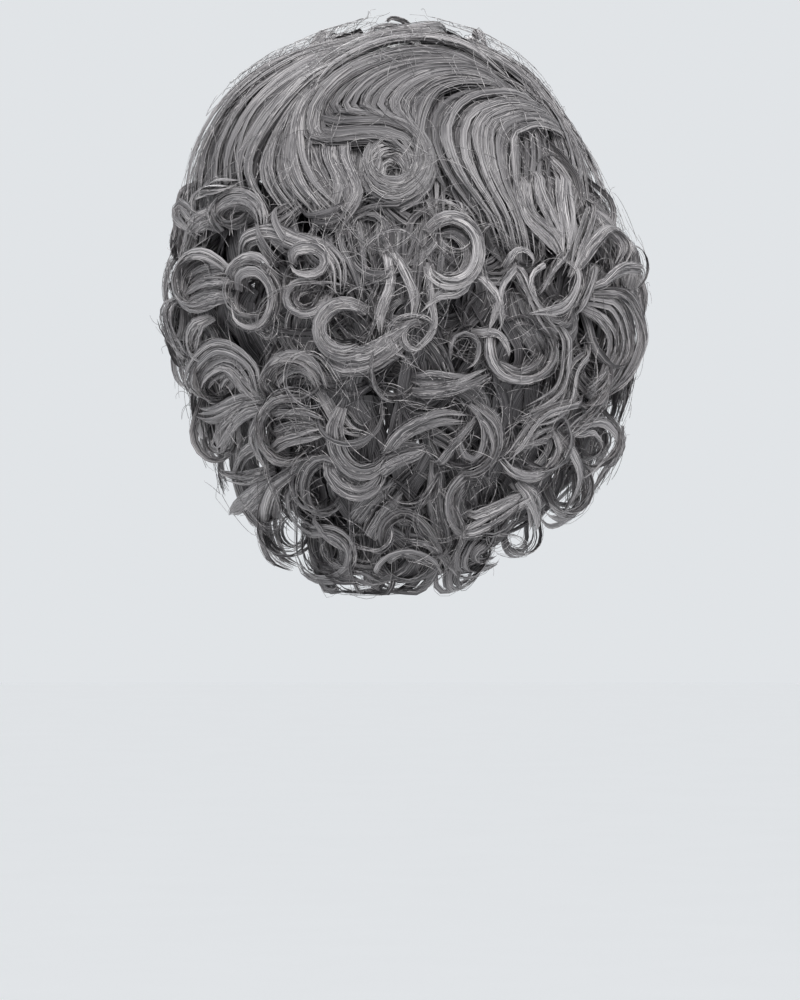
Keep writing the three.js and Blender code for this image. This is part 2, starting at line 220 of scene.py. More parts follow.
lace_mesh = egg_shell(LACE_WALL, LACE_AROUND, LACE_DOWN, lambda p: above_hairline(p) and not behind_seam(p))
bmesh.ops.solidify(lace_mesh, geom=lace_mesh.faces[:], thickness=LACE_WALL)
bmesh.ops.scale(lace_mesh, vec=(MM, MM, MM), verts=lace_mesh.verts)
lace = finish_piece(lace_mesh, "lace_strip", lace_net, "lace_front")

# Crown hair. Long smooth waves of grey hair that run from the parting over the crown, with one
# large S-wave at the back that closes in a flat spiral. The strands are sewn to the cap in rows.
STRAND = 0.38
STRAND_TIP = 0.2
STREAK = 0.45

# Outline of the hair by height, low to high: half widths to the wearer's left and right, depth
# to the back and front.
OUTLINE = np.array([
    [-212, 54, 52, 96, 30], [-180, 87, 92, 113, 42], [-150, 111, 125, 128, 52],
    [-120, 125, 136, 143, 58], [-80, 133, 141, 154, 62], [-48, 149, 147, 158, 66],
    [-20, 141, 149, 157, 74], [10, 135, 133, 152, 92], [40, 129, 120, 143, 112],
    [68, 118, 103, 127, 124], [90, 102, 88, 108, 120], [110, 72, 66, 80, 106],
    [123, 42, 44, 46, 84], [132, 14, 14, 10, 44],
])
OUTLINE_MIDDLE = -42
OUTLINE_HALF_HEIGHT = 170
DOME_WIDE = 16
DOME_BACK = 17.5
DOME_FRONT = 27.5
TURN_SHARE = 0.8
TURN_DEPTH = 0.6
TURN_SLOPE = 4 / 3
ROOT_LIFT = 1.03
DRAW_IN_STEPS = 10
SEED = 7
draw = np.random.default_rng(SEED)


def half_sizes(place_x, height, face):
    left, right, back, front = (np.interp(height, OUTLINE[:, 0], OUTLINE[:, i]) for i in range(1, 5))
    return np.where(place_x >= 0, left, right), np.where(face > 0, back, front)


def hair_place(across, height, face):
    """A place on the outline of the hair, seen from behind (face 1) or from in front (face -1)."""
    across, height, face = np.broadcast_arrays(*(np.asarray(v, float) for v in (across, height, face)))
    half, depth = half_sizes(across, height, face)
    share = np.minimum(1, np.abs(across) / half)
    return np.stack([across, face * depth * np.sqrt(1 - share**2), height], -1)


def back_place(across, height):
    """A place on the back of the outline, which runs straight on where the outline turns forwards."""
    half, depth = half_sizes(across, height, 1)
    share = np.abs(across) / half
    rounded = np.sqrt(np.maximum(0, 1 - share**2))
    straight = TURN_DEPTH - (share - TURN_SHARE) * TURN_SLOPE
    return np.stack([across, depth * np.where(share < TURN_SHARE, rounded, straight), height], -1)


def draw_in(places, over):
    """Draws places that stand off the outline by more than a little back towards the middle of the head."""
    def inside(share):
        x, y, z = np.moveaxis(places * share[..., None], -1, 0)
        half, depth = half_sizes(x, z, np.sign(y))
        level = (x / (half + over)) ** 2 + (y / (depth + over)) ** 2
        dome = (x / DOME_WIDE) ** 2 + (y / np.where(y > 0, DOME_BACK, DOME_FRONT)) ** 2
        return (level <= 1) & (z < OUTLINE[-1, 0] + over - dome) & (z > OUTLINE[0, 0] - over)

    low, high = np.zeros(places.shape[:-1]), np.ones(places.shape[:-1])
    keep = inside(high)
    for _ in range(DRAW_IN_STEPS):
        middle = (low + high) / 2
        within = inside(middle)
        low, high = np.where(within, middle, low), np.where(within, high, middle)
    return places * np.where(keep, 1, low)[..., None]


def round_place(angle, height):
    """A place on the outline at an angle from straight behind, to the wearer's left."""
    angle, height = np.broadcast_arrays(np.asarray(angle, float), np.asarray(height, float))
    side, back = np.sin(angle), np.cos(angle)
    half, depth = half_sizes(side, height, back)
    return np.stack([half * side, depth * back, height], -1)


def unit(vectors):
    return vectors / np.maximum(np.linalg.norm(vectors, axis=-1, keepdims=True), 1e-9)


def outward(place):
    half, depth = half_sizes(place[..., 0], place[..., 2], np.sign(place[..., 1]))
    rise = (place[..., 2] - OUTLINE_MIDDLE) / OUTLINE_HALF_HEIGHT**2
    return unit(np.stack([place[..., 0] / half**2, place[..., 1] / depth**2, rise], -1))


def cap_place(angle, height):
    """A root on the cap, at an angle from straight behind."""
    tall = HEAD_TOP if height > 0 else HEAD_BOTTOM
    level = math.sqrt(max(0.02, 1 - (height / tall) ** 2)) * ROOT_LIFT
    side, back = math.sin(angle), math.cos(angle)
    return np.array([HEAD_HALF_WIDTH * level * side, HEAD_HALF_LENGTH * level * back, height])


def smooth_run(points, count):
    """A smooth line through points, in even steps."""
    points = np.asarray(points, float)
    chord = np.r_[0, np.cumsum(np.linalg.norm(np.diff(points, axis=0), axis=1))]
    slope = np.gradient(points, chord, axis=0)
    at = np.linspace(0, chord[-1], count)
    step = np.clip(np.searchsorted(chord, at, side="right") - 1, 0, len(points) - 2)
    span = np.diff(chord)[step][:, None]
    s = (at[:, None] - chord[step][:, None]) / span
    h0 = 2 * s**3 - 3 * s**2 + 1
    h1 = s**3 - 2 * s**2 + s
    h2 = 3 * s**2 - 2 * s**3
    h3 = s**3 - s**2
    return h0 * points[step] + h1 * span * slope[step] + h2 * points[step + 1] + h3 * span * slope[step + 1]


def arc(across, height, half_across, half_tall, start, sweep, tighten=0.0, count=0):
    """Places on a round stretch seen from behind: 0 degrees to the wearer's left, 90 degrees upwards."""
    share = np.linspace(0, 1, count or max(5, round(abs(sweep) / 25)))
    angle = np.radians(start + sweep * share)
    size = 1 - tighten * share
    places = [across + half_across * size * np.cos(angle), height + half_tall * size * np.sin(angle)]
    return np.stack(places, -1)


def flat_bands(middle):
    """Directions across a line that lies flat on the outline."""
    return np.cross(outward(middle), np.gradient(middle, axis=0))


def lock_frame(middle, bands):
    """Directions across and through a lock at each place of its middle line."""
    along = unit(np.gradient(middle, axis=0))
    wide = unit(bands - np.sum(bands * along, -1, keepdims=True) * along)
    return wide, np.cross(along, wide)


# A clump is a flat ribbon with single strands round it. Both tables run from its root to its tip.
RIBBON_SIDES = 4
RIBBON_THIN = 0.4
RIBBON_ROLL = 0.3
RIBBON_TAPER = ([0, 0.15, 0.75, 1], [0.6, 1, 0.8, 0.05])
# Painted shade that a clump's ribbon gets beyond the clump's own.
RIBBON_PAINTED_SHADE = 0.12
STREAK_RUN = 260.0
STRAND_SIDES = 3
STRAND_EDGE = (0.8, 1.7)
STRAND_GATHER = ([0, 0.2, 0.8, 1], [0.7, 1, 0.95, 0.55])
STRAND_TWIST = 0.8
STRAY_SHARE = 0.12
STRAY_REACH = (2, 4)
WOBBLE = 0.7
WOBBLE_WAVES = (1.1, 2.9)
# How far a sheet's roots lie below it, and how much painted shade darkens its deepest clumps.
ROOT_DIP = 7
SHEET_PAINTED_SHADE = 0.6
# Under layers and stray hairs.
UNDER_ROW = 50
UNDER_LENGTH = 85
UNDER_HALF = (5, 8)
UNDER_THIN = 0.9
# Painted shade of the under layers, which lie beneath the other hair.
UNDER_PAINTED_SHADE = 0.9
FRIZZ_LENGTH = (16, 50)
FRIZZ_BEND = (10, 40)
FRIZZ_OVER = 5
FRIZZ_HALF = (0.2, 0.1)


class Section:
    """The strands and clumps of one section of hair, joined into one mesh."""

    def __init__(self, name):
        self.name = name
        self.places, self.faces, self.strand_uv, self.depths = [], [], [], []
        self.cells, self.rims = [], []
        self.count = 0

    def tubes(self, paths, wide, half_wide, half_thin, sides, streak, depth):
        """Adds one tube for each path: (tubes, steps, 3), with its half sizes at each step."""
        tubes, steps, _ = paths.shape
        along = unit(np.gradient(paths, axis=1))
        across = unit(wide - np.sum(wide * along, -1, keepdims=True) * along)
        through = np.cross(along, across)
        angle = 2 * np.pi * np.arange(sides) / sides
        ring = (
            paths[:, :, None]
            + np.cos(angle)[:, None] * (half_wide[..., None] * across)[:, :, None]
            + np.sin(angle)[:, None] * (half_thin[..., None] * through)[:, :, None]
        )
        number = np.arange(tubes * steps * sides).reshape(tubes, steps, sides) + self.count
        turned = np.roll(number, -1, axis=2)
        quads = np.stack([number[:, :-1], turned[:, :-1], turned[:, 1:], number[:, 1:]], -1)
        self.count += number.size
        self.places.append(ring.reshape(-1, 3))
        self.faces.append(quads.reshape(-1, 4))
        t = np.linspace(0, 1, steps)
        tag = draw.uniform(0, 1, tubes)
        u0 = tag[:, None, None] + streak * np.arange(sides) / sides
        u1 = tag[:, None, None] + streak * (np.arange(sides) + 1) / sides
        u0, u1 = (np.broadcast_to(u, (tubes, steps - 1, sides)) for u in (u0, u1))
        v0 = np.broadcast_to(t[:-1, None], u0.shape)
        v1 = np.broadcast_to(t[1:, None], u0.shape)
        self.strand_uv.append(np.stack([u0, v0, u1, v0, u1, v1, u0, v1], -1).reshape(-1, 2))
        side0 = np.broadcast_to(np.arange(sides) / sides, u0.shape)
        side1 = side0 + 1 / sides
        self.cells.append((tubes, np.stack([side0, v0, side1, v0, side1, v1, side0, v1], -1)))
        # Each point keeps the amount of painted shade of its tube.
        self.depths.append(np.full(number.size, depth))
        rim = (np.arange(sides) % 2 == 0) & (sides == RIBBON_SIDES)
        self.rims.append(np.tile(rim, tubes * steps))

    def clump(self, middle, bands, half_wide, half_thin, count, depth, wild=1.0):
        """Adds a clump: a flat streaky ribbon with single strands round it."""
        roll = draw.normal(0, RIBBON_ROLL)
        cosine, sine = math.cos(roll), math.sin(roll)
        wide, thin = lock_frame(middle, bands)
        wide, thin = wide * cosine + thin * sine, thin * cosine - wide * sine
        steps = len(middle)
        share = np.linspace(0, 1, steps)
        # The clump's depth is its painted shade: its ribbon gets a little more and its strands half.
        if half_wide:
            taper = np.interp(share, *RIBBON_TAPER)
            around = RIBBON_SIDES * math.hypot(half_wide, half_thin)
            self.tubes(
                middle[None], wide[None], (half_wide * taper)[None], (half_thin * taper)[None], RIBBON_SIDES,
                around / STREAK / STREAK_RUN, min(1.0, depth + RIBBON_PAINTED_SHADE),
            )
        if not count:
            return
        angle = draw.uniform(0, 2 * np.pi, count)
        edge = draw.uniform(*STRAND_EDGE, count)
        u = np.cos(angle) * edge * max(half_wide, 1.0)
        v = np.sin(angle) * edge * max(half_thin, 1.0)
        strays = draw.uniform(size=count) < STRAY_SHARE * wild
        stray = np.where(strays, draw.uniform(*STRAY_REACH, count), 1.0)
        ends = draw.uniform(0.8, 1.0, count)
        at = share[None] * ends[:, None] * (steps - 1)
        lower = np.minimum(at.astype(int), steps - 2)
        part = (at - lower)[..., None]

        def along_lock(values):
            return values[lower] * (1 - part) + values[lower + 1] * part

        wobble = np.zeros((2, count, steps))
        for harmonic in WOBBLE_WAVES:
            phase = draw.uniform(0, 2 * np.pi, (2, count, 1))
            rate = harmonic * draw.uniform(0.7, 1.3, (2, count, 1))
            wobble += np.sin(2 * np.pi * rate * share + phase) / harmonic
        wobble *= (WOBBLE * wild * stray[:, None] * (0.2 + share))[None]
        twist = draw.normal(0, STRAND_TWIST) * share[None]
        turned_u = u[:, None] * np.cos(twist) - v[:, None] * np.sin(twist)
        turned_v = u[:, None] * np.sin(twist) + v[:, None] * np.cos(twist)
        gather = np.interp(share, *STRAND_GATHER)
        wide_here = along_lock(wide)
        paths = (
            along_lock(middle)
            + (turned_u * gather + wobble[0])[..., None] * wide_here
            + (turned_v * gather + wobble[1])[..., None] * along_lock(thin)
        )
        size = np.interp(share, [0, 0.5, 1], [STRAND, STRAND, STRAND_TIP]) / 2
        half = size[None] * draw.uniform(0.7, 1.3, (count, 1))
        self.tubes(paths, wide_here, half, half, STRAND_SIDES, 0.0, depth * 0.5)

    def sheet(
        self, guides, clumps, strands, half_wide, half_thin, sinks, steps=24, place=None, shade=0.1, drop=0,
    ):
        """Adds clumps side by side between guide lines that lie on the outline."""
        guides = np.array(guides, float)
        for number in range(clumps):
            side = (number + draw.uniform(0.1, 0.9)) / clumps * (len(guides) - 1)
            lower = min(int(side), len(guides) - 2)
            part = side - lower
            line = guides[lower] * (1 - part) + guides[lower + 1] * part
            line[:, :2] += draw.normal(0, 0.5, (len(line), 2))
            line[:, 0] += draw.normal(0, 1.2) * np.sin(np.linspace(0, draw.uniform(4, 8), len(line)))
            if place:
                outer = place(np.radians(line[:, 0]), line[:, 1])
            else:
                outer = hair_place(line[:, 0], line[:, 1], 1 if line.shape[1] == 2 else np.sign(line[:, 2]))
            sink = draw.uniform(*sinks)
            ends = np.interp(np.linspace(0, 1, len(line)), [0, 0.15, 0.9, 1], [1, 0, 0, 0.5])
            deep = sink + ROOT_DIP * ends
            middle = smooth_run(outer - deep[:, None] * outward(outer), steps) - [0, 0, drop]
            bands = flat_bands(middle)
            # Painted shade: clumps that lie deeper are darker, on top of the sheet's own painted shade.
            tone = np.clip((sink - sinks[0]) / max(sinks[1] - sinks[0], 1), 0, 1)
            size = half_wide * draw.uniform(0.7, 1.2)
            self.clump(middle, bands, size, half_thin, strands, shade + SHEET_PAINTED_SHADE * tone, 0.8)

    def curl(self, row, clumps, strands, half_wide, deep, lead=3, ring=16):
        """Adds a ring curl as clumps that run from the cap into rings, wide in front and narrow behind."""
        for number in range(clumps):
            loose = 1.3 if number % 5 == 4 else 0.45
            middle, bands = curl_line(row, (number + draw.uniform(0, 1)) / clumps, loose, lead, ring)
            self.clump(
                middle, bands, half_wide * draw.uniform(0.7, 1.25), RIBBON_THIN, strands,
                deep + draw.uniform(0, 0.2), loose + 0.3,
            )

    def lock(self, wide, deep, sink, line, strands=3, shade=0.0):
        """Adds a lock along a line on the back of the outline: ribbons beside and behind each other."""
        line = np.array(line, float)
        length = np.sum(np.linalg.norm(np.diff(line, axis=0), axis=1))
        run = smooth_run(line, int(np.clip(length / LOCK_STEP, 9, 26)))
        share = np.linspace(0, 1, len(run))
        ahead = unit(np.gradient(run, axis=0))
        across = np.stack([-ahead[:, 1], ahead[:, 0]], -1)
        gather = np.interp(share, [0, 0.25, 0.8, 1], [0.7, 1, 0.95, 0.5])
        beside = max(1, round(wide / LOCK_PITCH))
        for number in range(beside * (2 if deep > LOCK_DOUBLE else 1)):
            off = ((number % beside + draw.uniform(0.2, 0.8)) / beside - 0.5) * wide
            wander = draw.normal(0, 0.8) * np.sin(draw.uniform(3, 7) * share + draw.uniform(0, 6))
            wander = wander + draw.normal(0, 1.2) * share**2
            flat = run + across * (off * gather + wander)[:, None]
            outer = back_place(flat[:, 0], flat[:, 1])
            layer = draw.uniform(0, deep if number >= beside else min(deep, LOCK_FRONT))
            ends = np.interp(share, [0, 0.12, 0.9, 1], [ROOT_DIP, 0, 0, 2])
            down = sink + layer + LOCK_ROUND * (off / wide) ** 2 + ends
            middle = outer - down[:, None] * outward(outer)
            bands = outward(middle) if number >= beside else flat_bands(middle)
            # Painted shade: ribbons that lie deeper are darker, plus the lock's extra painted shade.
            tone = np.clip((sink + layer) / LOCK_SHADE_DEPTH + shade, 0, 0.8)
            size = LOCK_RIBBON * draw.uniform(0.7, 1.2) if wide > LOCK_NARROW else 0
            self.clump(middle, bands, size, LOCK_RIBBON_THIN, strands if size else 5, tone, 1.0)

    def swirl(self, angle, height, sink, turn, radius, ribbons, half_wide, count, deep, over=0):
        """Adds a loose curl or wave that lies along the outline, coming up from below at its start."""
        place = round_place(angle, max(height, SWIRL_LOWEST))
        normal = outward(place)
        level = unit(np.cross(normal, [0.0, 0.0, 1.0]))
        up = np.cross(level, normal)
        up = up if up[2] > 0 else -up
        share = np.linspace(0, 1, SWIRL_STEPS + 1)
        length = min(abs(turn) * radius + SWIRL_LEAD, SWIRL_LONGEST)
        sway = draw.uniform(0.1, 0.6) * np.sin(7 * share + draw.uniform(0, 2 * np.pi))
        heading = draw.normal(0, 0.7) - math.pi / 2 - turn * 0.25
        heading = heading + turn * share * (0.35 + 0.65 * share) + sway
        line = np.stack([np.cos(heading), np.sin(heading)], -1)
        across = np.stack([-line[:, 1], line[:, 0]], -1)
        line = np.cumsum(line, axis=0) * length / SWIRL_STEPS
        line = line - line.mean(0)
        swell = draw.uniform(1, 5) * np.sin(6 * share + draw.uniform(0, 2 * np.pi))
        swell = swell - sink - SWIRL_DIVE * (1 - share) ** 4
        slope = draw.uniform(-1.2, 1.2)
        for number in range(ribbons):
            off = (number - (ribbons - 1) / 2) * SWIRL_PITCH + draw.normal(0, 0.6)
            gather = np.interp(share, [0, 0.3, 0.8, 1], [0.5, 1, 1, 0.5])
            fan = draw.normal(0, 2.0) * share**2
            flat = line + across * (off * gather + fan)[:, None]
            rise = swell + slope * off - off**2 / 14 - np.sum(flat**2, -1) / 200 + draw.normal(0, 0.6)
            middle = place + flat[:, :1] * level + flat[:, 1:] * up + rise[:, None] * normal
            middle = draw_in(middle, over)
            bands = across[:, :1] * level + across[:, 1:] * up + slope * normal
            self.clump(middle, bands, half_wide * draw.uniform(0.7, 1.3), RIBBON_THIN, count, deep, 1.3)

    def under(self, angles, height, sink, low=-200, pitch=6):
        """Adds the under layers in painted shade: broad ribbons side by side that hang along the outline."""
        for level in np.arange(height[1], height[0], -UNDER_ROW):
            for angle in np.arange(*angles, pitch):
                share = np.linspace(0, 1, 8)
                top = level + draw.uniform(-10, 10)
                levels = top - min(UNDER_LENGTH, top - low + draw.uniform(-6, 6)) * share
                swing = draw.uniform(0.02, 0.07) * np.sin(2 * np.pi * (1.3 * share + draw.uniform(0, 1)))
                outer = round_place(math.radians(angle + draw.normal(0, 2)) + swing, levels)
                middle = smooth_run(outer - (sink + draw.uniform(-5, 5)) * outward(outer), 11)
                bands = flat_bands(middle)
                self.clump(middle, bands, draw.uniform(*UNDER_HALF), UNDER_THIN, 1, UNDER_PAINTED_SHADE, 1.5)

    def frizz(self, number, angles, height, fall=200, steps=11):
        """Adds fine single hairs that stray over the outline."""
        place = round_place(np.radians(draw.uniform(*angles, number)), draw.uniform(*height, number))
        normal = outward(place)
        level = unit(np.cross(normal, [0.0, 0.0, 1.0]))
        down = np.cross(level, normal)
        length = draw.uniform(*FRIZZ_LENGTH, (number, 1))
        bend = draw.choice([-1, 1], (number, 1)) / draw.uniform(*FRIZZ_BEND, (number, 1))
        share = np.linspace(0, 1, steps)
        heading = np.pi / 2 + draw.normal(0, 0.9, (number, 1)) + bend * length * share * (0.6 + 0.4 * share)
        step = length / (steps - 1)
        flat = np.cumsum(np.stack([np.cos(heading), np.sin(heading)], -1) * step[..., None], axis=1)
        rise = draw.uniform(-7, 2, (number, 1)) + draw.normal(0, 2, (number, 1)) * share
        rise = rise - np.sum(flat**2, -1) / fall
        paths = (
            place[:, None] + flat[..., :1] * level[:, None] + flat[..., 1:] * down[:, None]
            + rise[..., None] * normal[:, None]
        )
        paths = draw_in(paths, FRIZZ_OVER)
        half = np.broadcast_to(np.interp(share, [0, 1], FRIZZ_HALF), (number, steps))
        self.tubes(paths, np.broadcast_to(normal[:, None], paths.shape), half, half, STRAND_SIDES, 0.0, 0.0)

    def fill(self, curls, angles, height, sinks=(0, 18), over=0, shade=0.0):
        """Adds loose curls, thin loops and waves between the large curls."""
        for number in range(curls):
            angle, z = math.radians(draw.uniform(*angles)), draw.uniform(*height)
            way = draw.choice([-1, 1])
            wave = draw.uniform() < WAVE_SHARE
            turn = way * draw.uniform(*(WAVE_TURN if wave else RING_TURN))
            radius = draw.uniform(*(WAVE_RADIUS if wave else RING_RADIUS))
            if number % LOOP_EVERY == 0:
                sink = draw.uniform(-3, 1)
                self.swirl(angle, z, sink, turn, radius, ribbons=1, half_wide=0, count=6, deep=0.0, over=over)
            else:
                sink = draw.uniform(*sinks)
                # Painted shade: curls that lie deeper are darker, plus the section's extra painted shade.
                deep = np.clip(sink / FILL_SHADE_DEPTH + shade, 0.02, 0.8)
                self.swirl(
                    angle, z, sink, turn, radius, ribbons=4, half_wide=2.3, count=3, deep=deep, over=over,
                )

    def piece(self, node, material):
        """Makes the finished object of the section."""
        mesh = bpy.data.meshes.new(self.name)
        places = np.concatenate(self.places) * MM
        faces = np.concatenate(self.faces)
        mesh.vertices.add(len(places))
        mesh.vertices.foreach_set("co", places.astype(np.float32).ravel())
        mesh.loops.add(faces.size)
        mesh.loops.foreach_set("vertex_index", faces.astype(np.int32).ravel())
        mesh.polygons.add(len(faces))
        mesh.polygons.foreach_set("loop_start", np.arange(0, faces.size, 4, dtype=np.int32))
        mesh.update(calc_edges=True)
        strand_map = mesh.uv_layers.new(name="strand")
        strand_map.uv.foreach_set("vector", np.concatenate(self.strand_uv).astype(np.float32).ravel())
        total = sum(tubes for tubes, _ in self.cells)
        columns = math.ceil(math.sqrt(total))
        laid, start_cell = [], 0
        for tubes, cell in self.cells:
            index = start_cell + np.arange(tubes)
            corner = np.stack([index % columns, index // columns], -1)[:, None, None, None]
            inside = cell.reshape(*cell.shape[:3], 4, 2) * 0.9 + 0.05
            laid.append(((corner + inside) / columns).reshape(-1, 2))
            start_cell += tubes
        bake_map = mesh.uv_layers.new(name="OFBake")
        bake_map.uv.foreach_set("vector", np.concatenate(laid).astype(np.float32).ravel())
        rim = np.concatenate(self.rims)
        ends = np.zeros(2 * len(mesh.edges), np.int32)
        mesh.edges.foreach_get("vertices", ends)
        keen = mesh.attributes.new("sharp_edge", "BOOLEAN", "EDGE")
        keen.data.foreach_set("value", rim[ends].reshape(-1, 2).all(axis=1))
        # Painted shade of each point, which the hair material reads to darken the colour.
        deep = mesh.attributes.new("deep", "FLOAT", "POINT")
        deep.data.foreach_set("value", np.concatenate(self.depths).astype(np.float32))
        mesh.validate()
        finish_piece(mesh, self.name, material, node)


# Streak greys of the hair: the strands' own mix of dark and light grey. The darkest streaks are partly
# painted shade of the gaps between strands.
GREY_STOPS = (
    (0.36, (0.05, 0.047, 0.05)), (0.45, (0.14, 0.133, 0.138)),
    (0.54, (0.27, 0.258, 0.262)), (0.64, (0.49, 0.468, 0.465)),
)
# Painted shade: the darker greys that hair lying deep under other hair is mixed towards.
PAINTED_SHADE_STOPS = ((0.42, (0.007, 0.0065, 0.008)), (0.6, (0.13, 0.123, 0.128)))
DRIFT_ROUND = 40.0
DRIFT_ALONG = 7.0
DRIFT_SWAY = 5.0
STREAK_ALONG = 1.5
HAIR_ROUGHNESS = 0.46
HAIR_GLOSS = 0.4
hair_grey, shader, start = new_material("hair_grey")
strand_uv = start.of(start.node("ShaderNodeUVMap", {"uv_map": "strand"}))
split = start.node("ShaderNodeSeparateXYZ", None, Vector=strand_uv)
tag, along = start.of(split, 0), start.of(split, 1)
drift = start.of(start.node("ShaderNodeCombineXYZ", None, X=tag * DRIFT_ROUND, Y=along * DRIFT_ALONG))
drift = start.of(start.node("ShaderNodeTexNoise", None, Vector=drift, Scale=1.0, Detail=1.0))
round_strand = tag * STREAK_RUN + drift * DRIFT_SWAY
flow = start.of(start.node("ShaderNodeCombineXYZ", None, X=round_strand, Y=along * STREAK_ALONG))
streaks = start.node("ShaderNodeTexNoise", None, Vector=flow, Scale=1.0, Detail=1.5, Roughness=0.6)
streaks = start.of(streaks)
# The "deep" attribute is the amount of painted shade at each point. It mixes the greys towards the painted
# shade greys.
deep = start.of(start.node("ShaderNodeAttribute", {"attribute_name": "deep"}), 2)
greys = streaks.ramp(*GREY_STOPS)
dark = streaks.ramp(*PAINTED_SHADE_STOPS)
feed(start, shader, "Base Color", deep.mix(greys, dark))
ridges = start.of(start.node("ShaderNodeBump", None, Strength=0.4, Distance=0.0005, Height=streaks))
feed(start, shader, "Normal", ridges)
shader.inputs["Roughness"].default_value = HAIR_ROUGHNESS
shader.inputs["Specular IOR Level"].default_value = HAIR_GLOSS

# Guide lines of the crown's waves from the root to the tip, each [across, height] and, where it passes
# over the top, the face: 1 behind and -1 in front. The S-wave sweeps over the top, bends back and closes
# in a spiral.
S_WAVE = [
    np.concatenate([
        arc(-20 - 20 * k, 66 + 4 * k, 66 - 26 * k, 38 - 16 * k, 150, -140, 0, 7),
        arc(4, 36 + 4 * k, 27 - 9 * k, 29 - 10 * k, 100 + 50 * k, 190 + 60 * k, 0.15, 7),
        [[30 - 22 * k, 6 + 34 * k]],
    ])
    for k in (0, 0.5, 1, 1.4)
]
INNER_WAVE = [
    np.concatenate([
        arc(-18, 62, 76 - 8 * k, 46 - 3 * k, 140, -150, 0, 7),
        arc(8, 34, 14 + 2 * k, 17 + 3 * k, 80, 230, 0.1, 8),
    ])
    for k in (0, 1)
] + S_WAVE[:1]
NEAR_FALL = np.array([[-25, 40], [-36, 22], [-48, 6], [-57, -10]])
FAR_FALL = np.array([[-57, 38], [-61, 24], [-69, 8], [-76, -14]])
RIGHT_WAVES = [
    np.concatenate([
        arc(-58 - 22 * k, 58 - 6 * k, 37 - 13 * k, 27 - 11 * k, 165, -165, 0, 7),
        NEAR_FALL + (FAR_FALL - NEAR_FALL) * k,
    ])
    for k in (0, 0.35, 0.7, 1, 1.3)
]
RIGHT_FAN = [
    [[-40, 100], [-62, 80], [-69, 52], [-68, 26], [-74, 2]],
    [[-52, 108], [-86, 80], [-99, 50], [-97, 22], [-92, -4]],
    [[-56, 110], [-92, 80], [-110, 48], [-110, 20], [-104, -10]],
]
CROWN_BASE = [
    [[60, 112], [66, 84], [62, 50], [56, 12]], [[20, 120], [22, 90], [20, 52], [18, 8]],
    [[-20, 120], [-24, 90], [-22, 52], [-22, 8]], [[-60, 110], [-74, 84], [-76, 50], [-70, 8]],
]
RIGHT_PANEL = [
    [[-20, 122, 1], [-64, 104, 1], [-94, 76, 1], [-108, 46, 1], [-116, 10, 1]],
    [[-30, 124, -1], [-66, 104, -1], [-95, 76, -1], [-112, 46, -1], [-124, 12, -1]],
]
LEFT_PANEL = [
    [[36, 120, -1], [78, 102, -1], [108, 74, -1], [124, 44, -1], [132, 16, -1]],
    [[30, 122, 1], [70, 106, 1], [104, 82, 1], [121, 52, 1], [126, 20, 1]],
    [[28, 116, 1], [60, 100, 1], [90, 76, 1], [105, 46, 1], [106, 14, 1]],
    [[30, 108, 1], [56, 88, 1], [76, 62, 1], [86, 36, 1], [76, 10, 1]],
    [[36, 98, 1], [55, 78, 1], [65, 52, 1], [62, 28, 1], [44, 8, 1]],
    [[42, 90, 1], [56, 70, 1], [54, 48, 1], [42, 24, 1], [22, 6, 1]],
]
TOP = [
    [[80, 92, -1], [68, 104, -1], [64, 113, 1], [70, 101, 1], [84, 86, 1]],
    [[44, 110, -1], [36, 121, -1], [40, 117, 1], [54, 108, 1], [72, 97, 1]],
    [[0, 122, -1], [0, 131, -1], [0, 130, 1], [0, 121, 1], [-4, 112, 1]],
    [[-44, 110, -1], [-36, 121, -1], [-40, 117, 1], [-54, 107, 1], [-72, 94, 1]],
    [[-78, 90, -1], [-64, 103, -1], [-60, 112, 1], [-66, 99, 1], [-80, 84, 1]],
]
TOP_DROP = 9
TOP_ROLL = [
    [[-66, 104, -1], [-40, 118, -1], [-10, 124, 1], [22, 117, 1], [50, 101, 1], [66, 84, 1]],
    [[-70, 98, 1], [-42, 111, 1], [-10, 115, 1], [20, 108, 1], [44, 94, 1], [58, 76, 1]],
]
FALL = [[[47, 78], [58, 56], [61, 30], [52, 2]], [[40, 70], [45, 46], [38, 24], [46, 0]],
        [[33, 62], [31, 40], [22, 18], [36, -2]]]
SPIRAL_HEART = [arc(5, 33, 14 - 3 * k, 15 - 4 * k, 60, 420, 0.55, 12) for k in (0, 1)]
SPIRAL = [arc(4, 36, 26 - 14 * k, 27 - 15 * k, 120, 330, 0.3, 12) for k in (0, 0.5, 1)]
